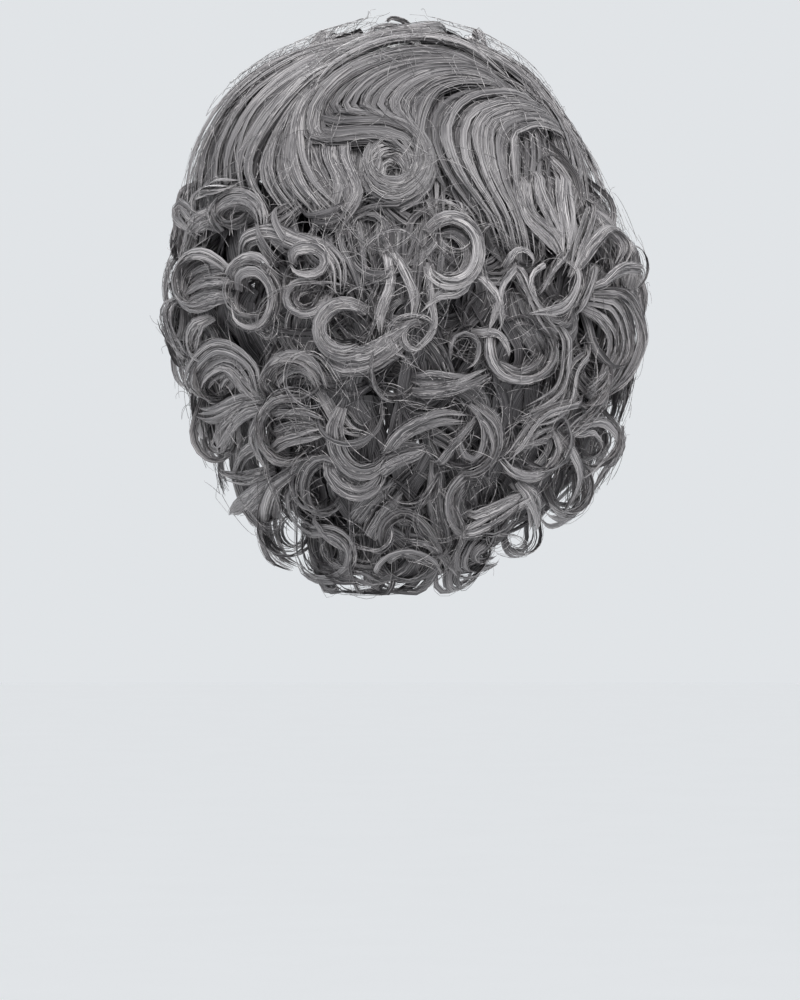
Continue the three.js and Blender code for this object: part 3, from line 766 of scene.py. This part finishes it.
# Guides, clumps, strands to a clump, half width, half thickness, depths inside the outline, steps, painted
# shade and drop.
CROWN_SHEETS = [
    (CROWN_BASE, 30, 2, 3.0, 0.4, (12, 16), 10, 0.1, 0),
    (TOP, 30, 0, 6.0, 0.6, (7, 10), 8, 0.3, TOP_DROP),
    (TOP, 44, 2, 3.0, 0.4, (2, 8), 10, 0.15, TOP_DROP),
    (TOP_ROLL, 15, 4, 2.4, 0.4, (2, 10), 17, 0.1, 0),
    (S_WAVE, 36, 4, 2.2, 0.4, (2, 10), 30, 0.42, 0),
    (INNER_WAVE, 22, 4, 2.4, 0.4, (3, 11), 24, 0.42, 0),
    (SPIRAL, 20, 4, 2.0, 0.4, (4, 12), 20, 0.1, 0),
    (SPIRAL_HEART, 9, 4, 1.9, 0.4, (5, 12), 22, 0.1, 0),
    (FALL, 22, 4, 2.3, 0.4, (5, 13), 18, 0.1, 0),
    (RIGHT_FAN, 24, 3, 2.4, 0.4, (3, 11), 14, 0.2, 0),
    (RIGHT_WAVES, 32, 4, 2.4, 0.4, (2, 11), 20, 0.26, 0),
    (RIGHT_PANEL, 22, 3, 2.5, 0.4, (2, 11), 16, 0.2, 0),
    (LEFT_PANEL, 54, 4, 2.5, 0.4, (2, 12), 16, 0.1, 0),
]
crown = Section("crown_strands")
for *sheet_row, shade, drop in CROWN_SHEETS:
    crown.sheet(*sheet_row, shade=shade, drop=drop)
crown.under(angles=(-120, 120), height=(20, 118), sink=15, low=-40)
crown.frizz(330, angles=(-100, 100), height=(20, 118), fall=120)
crown.piece("crown_hair", hair_grey)

# Front hair. Short grey hair knotted into the lace and rolled back off the forehead in fluffy curls.
# Its ends stand in soft tufts along the top.
CURL_TIGHTENS = 0.34
ROOT_DRAW = 0.9
# Loose curls and waves, with their turns in radians.
SWIRL_LOWEST = -204
SWIRL_LEAD = 30
SWIRL_LONGEST = 105
SWIRL_STEPS = 16
SWIRL_PITCH = 2.8
SWIRL_DIVE = 10
WAVE_SHARE = 0.68
WAVE_TURN = (1, 3.4)
WAVE_RADIUS = (14, 30)
RING_TURN = (4, 6.3)
RING_RADIUS = (8, 15)
LOOP_EVERY = 10
# Depth over which a loose curl's painted shade grows.
FILL_SHADE_DEPTH = 24
# Curls behind lie this far inside the outline, beneath the locks.
BENEATH = 8
# Ring curls: face, across, height, rise to the root, radius, turns, yaw, pitch, band.
FRONT_CURLS = [
    (-1, 0, 117, -40, 15, -0.9, 90, 0, 34), (-1, 36, 112, -42, 15, -0.9, 110, 10, 30),
    (-1, -36, 112, -42, 15, -0.9, 70, -10, 30), (-1, 66, 92, -35, 15, -0.9, 125, 25, 28),
    (-1, -66, 92, -35, 15, -0.9, 55, -25, 28), (-1, 14, 88, -12, 13, 0.8, 180, 20, 20),
    (-1, -24, 84, -10, 13, -0.8, 200, 20, 20), (-1, 56, 66, 0, 14, 0.9, 160, 10, 20),
    (-1, -60, 62, 0, 14, -0.9, 200, 10, 20),
]


def curl_line(row, share_deep, loose, lead_count, ring_count):
    """The middle line of one clump of a ring curl, from its root on the cap, and its band directions."""
    face, across, height, rise, radius, turns, yaw, pitch, band = row
    sink = BENEATH if face == 1 else 0
    across = across + draw.normal(0, 0.13 * radius * loose)
    height = height + draw.normal(0, 0.13 * radius * loose)
    turns = turns * draw.uniform(0.85, 1.2)
    yaw = math.radians(yaw + draw.normal(0, 9 * loose))
    pitch = math.radians(pitch + draw.normal(0, 9 * loose))
    axis = np.array([math.sin(yaw) * math.cos(pitch), math.cos(yaw) * math.cos(pitch), math.sin(pitch)])
    centre = hair_place(across, height, face) - np.array([0, face * band / 2, 0])
    facing = axis if axis.dot(outward(centre)) > 0 else -axis
    centre = centre - sink * outward(centre) + facing * band * (0.5 - share_deep)
    radius = radius * (1.08 - 0.5 * share_deep) * draw.uniform(0.95, 1.05)
    half, depth = half_sizes(across, height, face)
    angle = math.atan2(centre[0] / half, centre[1] / depth) * ROOT_DRAW + draw.normal(0, 0.05)
    root = cap_place(angle, min(height + rise + draw.normal(0, 4), 92))
    away = root - centre
    away = away - away.dot(axis) * axis
    reach = max(np.linalg.norm(away), radius * 1.05)
    first = unit(away)
    second = np.cross(axis, first)
    sense = math.copysign(1, turns)
    entry = math.acos(radius / reach)
    share = np.linspace(0, 1, ring_count)[:, None]
    angle = sense * (entry + 2 * math.pi * abs(turns) * share)
    size = radius * (1 - CURL_TIGHTENS * draw.uniform(-0.2, 1.4) * share * min(1, abs(turns)))
    ring = centre + size * (np.cos(angle) * first + np.sin(angle) * second * draw.uniform(0.8, 1.1))
    ring = ring + axis * band * draw.uniform(0.1, 0.4) * (share - 0.5)
    heading = unit(ring[1] - ring[0])
    far = np.linalg.norm(root - ring[0])
    out_root = outward(root)
    handles = [root, root + out_root * far * 0.45, ring[0] - heading * far * 0.4, ring[0]]
    t = np.linspace(0, 1, lead_count + 1)[:-1, None]
    weights = [(1 - t) ** 3, 3 * t * (1 - t) ** 2, 3 * t**2 * (1 - t), t**3]
    lead = sum(w * h for w, h in zip(weights, handles))
    middle = np.concatenate([lead, ring])
    side = unit(np.cross(heading, out_root))
    axis = axis if side.dot(axis) >= 0 else -axis
    blend = np.clip(np.arange(len(middle)) / lead_count, 0, 1)[:, None]
    return middle, unit(side * (1 - blend) + axis * blend)


front = Section("front_strands")
for row in FRONT_CURLS:
    front.curl(row, clumps=9, strands=4, half_wide=2.5, deep=0.02, ring=14)
front.fill(30, angles=(120, 240), height=(70, 112), sinks=(2, 16))
front.fill(12, angles=(105, 255), height=(106, 120), sinks=(2, 8))
# Tufts along the top edge, each by its angle from straight behind and its height.
TUFTS = [(132, 117), (154, 124), (176, 127), (196, 125), (220, 118)]
TUFT_CURLS = 4
for angle, height in TUFTS:
    for _ in range(TUFT_CURLS):
        front.swirl(
            math.radians(angle + draw.uniform(-7, 7)), height + draw.uniform(-3, 4), draw.uniform(-3, 3),
            draw.choice([-1, 1]) * draw.uniform(6, 9), draw.uniform(3, 6),
            ribbons=2, half_wide=0.9, count=6, deep=0.02, over=4,
        )
front.frizz(220, angles=(60, 300), height=(60, 128), fall=110)
front.piece("front_hair", hair_grey)

# Back hair. Ring curls in rows over the back of the head, wound on rods and sewn to the cap in rows of weft.
# The curls beneath are those of the solids, and the locks over them are laid one by one.
BACK_CURLS = [
    (1, 55, -33, 40, 15, 0.95, 20, 10, 18), (1, 32, -53, 45, 18, 1.0, 5, 0, 20),
    (1, -34, -9, 35, 18, -1.0, -10, 10, 20), (1, -42, -68, 45, 13, -0.95, -10, 0, 16),
    (1, 10, -22, 35, 16, 0.9, 0, 40, 16), (1, 4, -84, 50, 19, 0.9, 0, -25, 18),
    (1, 42, 6, 30, 12, -0.9, 40, 60, 18),
]
# Ribbons of a lock: their step along it, pitch across it and half sizes.
LOCK_STEP = 4
LOCK_PITCH = 2.2
LOCK_RIBBON = 2.1
LOCK_RIBBON_THIN = 0.35
# A lock narrower than this is single strands. A deeper one than LOCK_DOUBLE has a second layer behind.
LOCK_NARROW = 2.5
LOCK_DOUBLE = 5
LOCK_FRONT = 3
LOCK_ROUND = 6
# Depth inside the outline over which a lock's painted shade grows.
LOCK_SHADE_DEPTH = 22
# Locks: width, depth, how far inside the outline, line.
BACK_LOCKS = [
    (6, 10, -1, arc(31, -60, 16, 15, 130, -250)),
    (4, 4, -2, arc(31, -60, 14, 13, 140, -260)),
    (6, 4, 1, [[34, -75], [20, -74], [6, -66], [-8, -58]]),
    (9, 4, 3, [[46, -78], [34, -83], [20, -82], [6, -75], [-6, -67]]),
    (6, 10, -2, arc(-29, -16, 17, 20, 40, 280)),
    (5, 4, -3, arc(-29, -16, 15, 18, 60, 260)),
    (4, 6, 3, arc(-29, -17, 12, 14, 60, 250)),
    (4, 4, 1, [[-41, -27], [-33, -38], [-24, -40], [-18, -45], [-14, -52]]),
    (2, 3, -3, [[-16, -13], [2, -3], [19, -13], [20, -34], [27, -49]]),
    (4, 4, 0, [[10, -10], [-3, -27], [-9, -46], [-7, -55]]),
    (4, 4, 1, [[9, -13], [5, -34], [10, -53], [10, -64]]),
    (2.3, 3, -1, [[22, -21], [13, -34], [20, -49], [25, -56]]),
    (2, 3, -2, [[9, -41], [15, -59], [19, -70]]),
    (4.5, 4, 0, [[-16, -21], [-18, -43], [-19, -62], [-7, -76]]),
    (2.3, 5, -3, arc(-8, -66, 15, 13, 150, -250)),
    (4.5, 4, 1, arc(-9, -66, 9, 9, 120, -270)),
    (3.5, 4, 0, [[-44, -28], [-56, -45], [-50, -62]]),
    (2, 3, -2, [[-43, -2], [-52, -1], [-58, -7], [-62, -16]]),
]
BACK_FALL = [
    [[48, 8], [44, -12], [36, -30], [30, -46]], [[10, 10], [8, -8], [6, -26], [4, -46]],
    [[-20, 14], [-14, -4], [-10, -24], [-8, -46]], [[-60, -2], [-50, -14], [-48, -30], [-46, -46]],
]
back = Section("back_strands")
# The falling sheet lies beneath the curls and locks and gets strong painted shade.
back.sheet(
    BACK_FALL, clumps=30, strands=3, half_wide=2.4, half_thin=RIBBON_THIN, sinks=(7, 13), steps=12,
    shade=0.55,
)
# The curls behind lie beneath the locks and get painted shade.
for row in BACK_CURLS:
    back.curl(row, clumps=6, strands=2, half_wide=2.3, deep=0.55)
for row in BACK_LOCKS:
    back.lock(*row)
back.fill(34, angles=(-24, 24), height=(-62, 22), sinks=(8, 24))
back.under(angles=(-25, 25), height=(-40, 40), sink=26)
back.frizz(150, angles=(-24, 24), height=(-70, 20))
back.piece("back_hair", hair_grey)

# Side hair. Ring curls and rolls of grey hair over each ear, drawn towards the face in front. They are sewn
# to the cap's sides in rows, and hang free below its edge.
LEFT_CURLS = [
    (1, 98, 15, 30, 16, 0.9, 30, 25, 18), (1, 122, -29, 35, 16, 1.0, 40, 0, 22),
    (1, 90, -38, 40, 15, 1.0, 15, 5, 20), (1, 75, -8, 35, 17, -0.8, -60, 40, 24),
    (1, 134, -50, 35, 15, 0.9, 60, 0, 22), (1, 110, -86, 50, 20, -1.0, 35, 10, 22),
    (1, 64, -86, 50, 19, 1.0, 10, 0, 18), (1, 69, -119, 60, 23, 1.0, 10, 5, 22),
    (1, 110, -122, 60, 15, 0.9, 30, 0, 20), (-1, 98, 46, 12, 16, 0.9, 130, 0, 22),
    (-1, 112, 2, 25, 16, 0.9, 130, 0, 22), (-1, 126, -30, 40, 17, -0.9, 110, 0, 24),
    (-1, 118, -74, 55, 18, 0.9, 120, 0, 24), (-1, 104, -116, 70, 18, -0.9, 120, 0, 22),
]
RIGHT_CURLS = [
    (1, -94, 27, 30, 20, -0.9, -30, 10, 20), (1, -122, 13, 25, 13, -0.9, -50, 0, 18),
    (1, -76, -14, 35, 13, 0.95, -10, 20, 16), (1, -98, -29, 35, 16, -0.95, -30, 0, 18),
    (1, -138, -20, 30, 13, 0.9, -40, 0, 18), (1, -74, -70, 45, 19, 1.0, -10, 0, 18),
    (1, -122, -60, 45, 23, 0.8, -50, 0, 26), (1, -112, -88, 50, 19, -0.95, -30, 0, 22),
    (1, -87, -124, 60, 21, -1.0, -20, 0, 20), (1, -121, -125, 60, 15, -0.95, -15, 0, 18),
    (1, -104, -154, 70, 17, 0.95, -30, 0, 20), (-1, -96, 40, 12, 16, -0.9, 230, 0, 22),
    (-1, -114, 0, 25, 16, -0.9, 230, 0, 22), (-1, -126, -34, 40, 17, 0.9, 250, 0, 24),
    (-1, -118, -80, 55, 18, -0.9, 240, 0, 24), (-1, -106, -120, 70, 18, 0.9, 240, 0, 22),
]
LEFT_LOCKS = [
    (8, 4, 1, arc(98, 5, 16, 15, -15, 215)),
    (5, 6, 5, arc(98, 4, 11, 10, 0, 180)),
    (4.5, 4, 0, [[116, 2], [126, 9], [134, 17], [136, 12], [130, 4], [122, -3]]),
    (4, 10, 0, arc(121, -31, 15, 16, 150, -280)),
    (7, 3, 5, [[107, -22], [120, -23], [133, -30]]),
    (7, 3, 5, [[106, -30], [120, -32], [134, -38]]),
    (7, 3, 3, [[106, -40], [119, -41], [131, -45]]),
    (4, 12, 0, arc(88, -42, 13, 17, 20, 330)),
    (5, 4, -1, arc(88, -31, 14, 13, 0, 150)),
    (4, 5, -1, arc(54, -21, 11, 8, 0, 340)),
    (11, 5, 2, [[101, -16], [92, -5], [78, -2], [62, -8], [47, -14], [38, -26], [38, -40]]),
    (4, 10, 1, arc(55, -42, 12, 10, 170, 330)),
    (3, 6, 3, arc(55, -43, 7, 6, 150, 300)),
    (8, 5, 1, [[124, -101], [126, -88], [109, -71], [89, -81], [83, -102]]),
    (8, 5, 0, [[116, -101], [118, -91], [105, -81], [89, -96], [83, -103]]),
    (7, 4, 3, [[109, -97], [102, -88], [95, -94], [89, -101]]),
    (9, 4, 0, [[81, -102], [92, -101], [103, -105], [114, -110], [125, -108]]),
    (8, 4, 2, [[82, -106], [92, -108], [101, -114], [112, -131]]),
    (6, 8, 0, arc(63, -97, 19, 21, -5, 180)),
    (5, 5, 4, arc(63, -97, 13, 14, 0, 170)),
    (1.8, 3, -4, [[41, -104], [50, -106], [65, -93], [60, -76], [51, -74], [34, -92], [27, -105]]),
    (2.4, 3, -2, [[81, -106], [68, -96], [58, -96], [40, -105]]),
    (5, 8, 0, arc(66, -119, 17, 19, 110, -230)),
    (7, 4, 4, [[81, -112], [68, -108], [57, -110], [47, -116]]),
    (7, 4, 4, [[81, -122], [68, -119], [57, -120], [47, -123]]),
    (5, 4, 1, [[79, -133], [72, -127], [60, -124], [45, -122]]),
    (6, 4, 2, [[79, -105], [89, -123], [81, -144]]),
    (8, 5, 1, [[138, -38], [141, -50], [138, -62], [130, -76]]),
    (7, 4, 1, [[118, -52], [125, -61], [125, -71], [118, -79]]),
    (6, 4, 1, [[121, 30], [125, 18], [126, 4], [135, -20]]),
    (8, 4, 2, [[81, -144], [92, -147], [103, -147], [113, -143]]),
    (8, 4, 1, [[80, -151], [90, -157], [104, -169]]),
    (7, 4, 3, [[84, -127], [95, -133], [104, -153]]),
    (7, 4, 2, [[79, -157], [87, -164], [92, -170], [90, -177]]),
    (8, 7, 0, arc(64, -172, 18, 28, 80, -160)),
]
RIGHT_LOCKS = [
    (10, 4, 1, [[-74, 34], [-72, 20], [-75, 8], [-92, -8], [-98, -18]]),
    (10, 4, 1, [[-86, 38], [-86, 22], [-96, -4], [-100, -16]]),
    (9, 4, 1, [[-98, 38], [-98, 22], [-100, -6], [-99, -18]]),
    (8, 4, 1, [[-116, 20], [-113, 8], [-102, -18], [-98, -28]]),
    (5, 4, 1, [[-99, -14], [-92, -22], [-83, -40]]),
    (5, 4, 0, [[-100, -17], [-104, -30], [-97, -46], [-76, -50]]),
    (6, 4, 3, [[-117, -17], [-115, -28], [-105, -51]]),
    (6, 6, 0, [[-106, -26], [-112, -12], [-127, 1], [-135, -8], [-132, -20]]),
    (7, 5, 0, [[-117, -34], [-134, -22], [-144, -22], [-142, -34]]),
    (7, 6, 0, [[-119, -36], [-130, -36], [-143, -57], [-134, -86], [-124, -98]]),
    (7, 6, 1, [[-118, -41], [-126, -43], [-136, -63], [-126, -89], [-116, -99]]),
    (6, 5, 3, [[-116, -46], [-128, -62], [-123, -84], [-115, -95]]),
    (3, 4, -2, arc(-71, -22, 8, 9, -10, 200)),
    (3, 4, 0, [[-69, -21], [-60, -38], [-57, -62]]),
    (5, 4, 0, [[-69, -21], [-77, -42], [-92, -63]]),
    (2.6, 3, 0, [[-88, -21], [-78, -31], [-80, -44]]),
    (5, 8, 0, arc(-73, -72, 19, 18, 30, -240)),
    (3, 4, 0, [[-44, -61], [-54, -62], [-64, -77]]),
    (8, 4, 4, [[-59, -80], [-69, -86], [-80, -83], [-88, -75]]),
    (8, 4, 2, [[-99, -57], [-100, -70], [-95, -96], [-77, -107]]),
    (7, 4, 0, [[-117, -69], [-104, -80], [-97, -104], [-73, -115]]),
    (5, 4, 0, [[-112, -100], [-83, -110], [-69, -129], [-63, -137]]),
    (7, 4, 1, [[-126, -91], [-114, -108], [-99, -121]]),
    (3.5, 4, -1, [[-101, -119], [-122, -114], [-130, -122], [-117, -141], [-110, -148]]),
    (2.6, 3, 1, [[-102, -122], [-115, -120], [-120, -126], [-112, -139]]),
    (4, 8, 0, arc(-76, -124, 19, 22, 170, 160)),
    (6, 4, 4, [[-71, -131], [-80, -127], [-95, -120]]),
    (5, 5, 0, [[-98, -121], [-108, -144], [-95, -172]]),
    (8, 5, 0, [[-73, -151], [-79, -161], [-84, -178]]),
    (7, 5, 0, [[-34, -181], [-47, -175], [-71, -162], [-80, -157]]),
    (5, 4, 1, [[-41, -169], [-63, -160], [-75, -155]]),
    (2, 3, -1, [[-49, -178], [-74, -183], [-77, -189], [-61, -192], [-53, -187]]),
]
# Guide lines of the smooth side panel, each by its angle from straight behind and its height.
SIDE_PANEL = np.array([
    [[66, 118], [74, 100], [80, 75], [82, 45], [78, 15]],
    [[92, 118], [98, 98], [102, 72], [102, 42], [98, 12]],
    [[116, 112], [119, 92], [121, 66], [120, 36], [114, 8]],
    [[132, 100], [131, 82], [129, 56], [125, 26], [119, 2]],
])


def on_side(first, last, turn):
    """Angles from straight behind on the wearer's left (turn 1) or right (turn -1), low to high."""
    return sorted((first * turn, last * turn))


for name, node, curls, locks, turn in (
    ("left_side_strands", "left_side_hair", LEFT_CURLS, LEFT_LOCKS, 1),
    ("right_side_strands", "right_side_hair", RIGHT_CURLS, RIGHT_LOCKS, -1),
):
    side = Section(name)
    for row in curls:
        # Curls behind get painted shade, those in front almost none.
        if row[0] == 1:
            side.curl(row, clumps=5, strands=2, half_wide=2.4, deep=0.25)
        else:
            side.curl(row, clumps=8, strands=3, half_wide=2.4, deep=0.02)
    for row in locks:
        side.lock(*row)
    side.sheet(
        SIDE_PANEL * np.array([turn, 1]), clumps=28, strands=4, half_wide=2.5, half_thin=RIBBON_THIN,
        sinks=(1, 9), steps=15, place=round_place,
    )
    side.fill(16, angles=on_side(18, 60, turn), height=(-165, 30), sinks=(8, 22))
    side.fill(16, angles=on_side(60, 100, turn), height=(-165, 30), sinks=(0, 10))
    side.fill(16, angles=on_side(97, 125, turn), height=(-130, 40))
    side.under(angles=on_side(15, 85, turn), height=(-150, 60), sink=20, low=-185)
    side.under(angles=on_side(85, 125, turn), height=(-80, 60), sink=18, low=-118)
    side.under(angles=on_side(60, 118, turn), height=(-70, 0), sink=40, low=-110, pitch=9)
    side.under(angles=on_side(22, 72, turn), height=(-90, 10), sink=33, low=-140, pitch=7)
    side.frizz(230, angles=on_side(20, 125, turn), height=(-160, 30))
    side.piece(node, hair_grey)

# Nape hair. Hanging ring curls of grey hair below the cap's edge, sewn to its lowest rows. The lowest curls
# reach the top of the back.
NAPE_CURLS = [
    (1, -40, -122, 60, 21, -1.0, -5, 0, 20), (1, 30, -116, 55, 18, 0.8, 5, 20, 20),
    (1, 52, -153, 75, 16, 1.0, 10, 0, 18), (1, -4, -152, 75, 17, -0.9, 0, 10, 18),
    (1, -52, -164, 80, 19, 1.0, -10, 0, 18), (1, 46, -189, 100, 18, 1.0, 10, 0, 18),
    (1, -4, -196, 105, 15, -1.0, 0, 0, 16), (1, 72, -178, 95, 16, -0.95, 25, 0, 18),
    (1, -44, -194, 105, 14, 0.95, -10, 0, 16), (1, -76, -183, 100, 13, -0.95, -25, 0, 16),
]
NAPE_LOCKS = [
    (8, 5, 0, arc(21, -118, 17, 24, 25, -165)),
    (7, 5, 1, [[12, -137], [-2, -131], [-16, -128]]),
    (8, 5, 0, arc(26, -130, 17, 25, -10, -140)),
    (7, 5, 0, [[13, -146], [1, -137], [-14, -130]]),
    (7, 5, -1, [[9, -135], [0, -123], [-12, -116], [-25, -112], [-39, -113]]),
    (3, 5, -2, arc(2, -80, 15, 21, 20, -115)),
    (2, 3, -1, [[5, -66], [0, -78], [-6, -84]]),
    (7, 4, 1, [[-8, -99], [-32, -95], [-54, -86]]),
    (6, 4, 3, [[-8, -91], [-26, -90], [-46, -87]]),
    (2.6, 6, -1, arc(-38, -75, 8.5, 11, -20, 270)),
    (6, 8, 0, arc(-36, -124, 20, 21, 120, 155)),
    (4, 5, 0, arc(-42, -120, 7, 15, 100, 260)),
    (5, 5, 1, [[-21, -140], [-33, -125], [-44, -110]]),
    (5, 5, 2, [[-56, -109], [-59, -125], [-48, -142]]),
    (7, 5, 2, [[68, -152], [66, -166], [57, -176], [47, -180]]),
    (5, 10, 0, arc(45, -153, 12, 15, 150, -290)),
    (4.5, 5, 2, [[69, -147], [61, -138], [46, -139]]),
    (6, 8, 0, arc(46, -191, 17, 14, 40, 310)),
    (5, 4, 3, arc(46, -191, 11, 8, 70, 240)),
    (3, 3, -1, [[54, -169], [44, -178], [33, -190]]),
    (8, 4, 3, [[31, -175], [18, -160], [4, -149]]),
    (8, 4, 3, [[22, -184], [11, -167], [0, -155]]),
    (5, 6, 0, [[11, -189], [8, -173], [-2, -167], [-12, -173], [-21, -187], [-29, -204]]),
    (3, 4, 0, arc(-5, -208, 22, 19, 10, 160)),
    (4.5, 4, 2, [[11, -198], [0, -190], [-21, -199]]),
    (5, 7, 0, arc(-43, -163, 13, 17, 95, -225)),
    (6, 4, 4, arc(-43, -164, 7, 9, 90, -200)),
    (8, 4, 5, [[-23, -141], [-21, -162], [-31, -192]]),
    (5, 4, 0, [[-33, -209], [-43, -200], [-61, -192]]),
    (4.5, 4, 1, [[-2, -184], [-14, -184], [-28, -195], [-40, -206]]),
    (5, 5, 1, [[42, -193], [30, -202], [13, -209]]),
]
# Painted shade that darkens the nape's locks and loose curls, low down where less light falls.
NAPE_PAINTED_SHADE = 0.45
nape = Section("nape_strands")
# The nape's curls get strong painted shade.
for row in NAPE_CURLS:
    nape.curl(row, clumps=5, strands=2, half_wide=2.3, deep=0.6)
for row in NAPE_LOCKS:
    nape.lock(*row, shade=NAPE_PAINTED_SHADE)
nape.fill(18, angles=(-44, 44), height=(-196, -75), sinks=(10, 20), shade=NAPE_PAINTED_SHADE)
nape.fill(20, angles=(-50, 50), height=(-204, -172), sinks=(3, 16), shade=NAPE_PAINTED_SHADE)
nape.under(angles=(-46, 46), height=(-140, -50), sink=28, low=-185, pitch=4)
nape.under(angles=(-46, 46), height=(-170, -50), sink=18, low=-190)
nape.frizz(210, angles=(-40, 40), height=(-198, -75))
nape.fill(10, angles=(-40, 40), height=(-196, -172), sinks=(6, 14), shade=NAPE_PAINTED_SHADE)
nape.piece("nape_hair", hair_grey)

# Studio. A pale painted floor far below and a pale backdrop, two large soft lights, one behind the head and
# one in front, and the camera behind the head.
FLOOR_HEIGHT = -1.3
FLOOR_HALF = 30
FLOOR_DARK = (0.98, 0.98, 0.98)
FLOOR_LIGHT = (0.99, 0.99, 0.99)
FLOOR_ROUGHNESS = 0.9
FLOOR_GLOSS = 0.1
floor_paint, shader, start = new_material("floor_paint")
mottle = start.of(start.node("ShaderNodeTexNoise", None, Vector=start, Scale=3.0, Detail=4.0))
feed(start, shader, "Base Color", mottle.ramp((0.3, FLOOR_DARK), (0.7, FLOOR_LIGHT)))
shader.inputs["Roughness"].default_value = FLOOR_ROUGHNESS
shader.inputs["Specular IOR Level"].default_value = FLOOR_GLOSS
floor_shape = bmesh.new()
bmesh.ops.create_grid(floor_shape, x_segments=1, y_segments=1, size=FLOOR_HALF)
bmesh.ops.translate(floor_shape, vec=(0, 0, FLOOR_HEIGHT), verts=floor_shape.verts)
floor_mesh = bpy.data.meshes.new("floor")
floor_shape.to_mesh(floor_mesh)
floor_shape.free()
floor_mesh.materials.append(floor_paint)
floor = bpy.data.objects.new("floor", floor_mesh)
bpy.context.scene.collection.objects.link(floor)

bpy.context.scene.view_settings.view_transform = "Standard"
BACKDROP = (0.94, 0.97, 1.0, 1)
BACKDROP_STRENGTH = 0.8
world = bpy.data.worlds.new("studio")
bpy.context.scene.world = world
world.use_nodes = True
world.node_tree.nodes["Background"].inputs["Color"].default_value = BACKDROP
world.node_tree.nodes["Background"].inputs["Strength"].default_value = BACKDROP_STRENGTH


def soft_light(name, place, size, power):
    lamp = bpy.data.lights.new(name, "AREA")
    lamp.size = size
    lamp.energy = power
    holder = bpy.data.objects.new(name, lamp)
    holder.location = place
    holder.rotation_euler = (-Vector(place)).to_track_quat("-Z", "Y").to_euler()
    bpy.context.scene.collection.objects.link(holder)


soft_light("key", (-0.3, 1.8, 1.6), size=1.4, power=75)
soft_light("front", (0.3, -1.8, 1.6), size=1.3, power=36)

SENSOR = 36
CAMERA_FAR = 3.2
PICTURE_HEIGHT = 0.6
CAMERA_LEVEL = -0.158
camera_data = bpy.data.cameras.new("camera")
camera_data.lens = SENSOR * CAMERA_FAR / PICTURE_HEIGHT
camera = bpy.data.objects.new("camera", camera_data)
camera.location = (0, CAMERA_FAR, CAMERA_LEVEL)
camera.rotation_euler = (math.pi / 2, 0, math.pi)
bpy.context.scene.collection.objects.link(camera)
bpy.context.scene.camera = camera
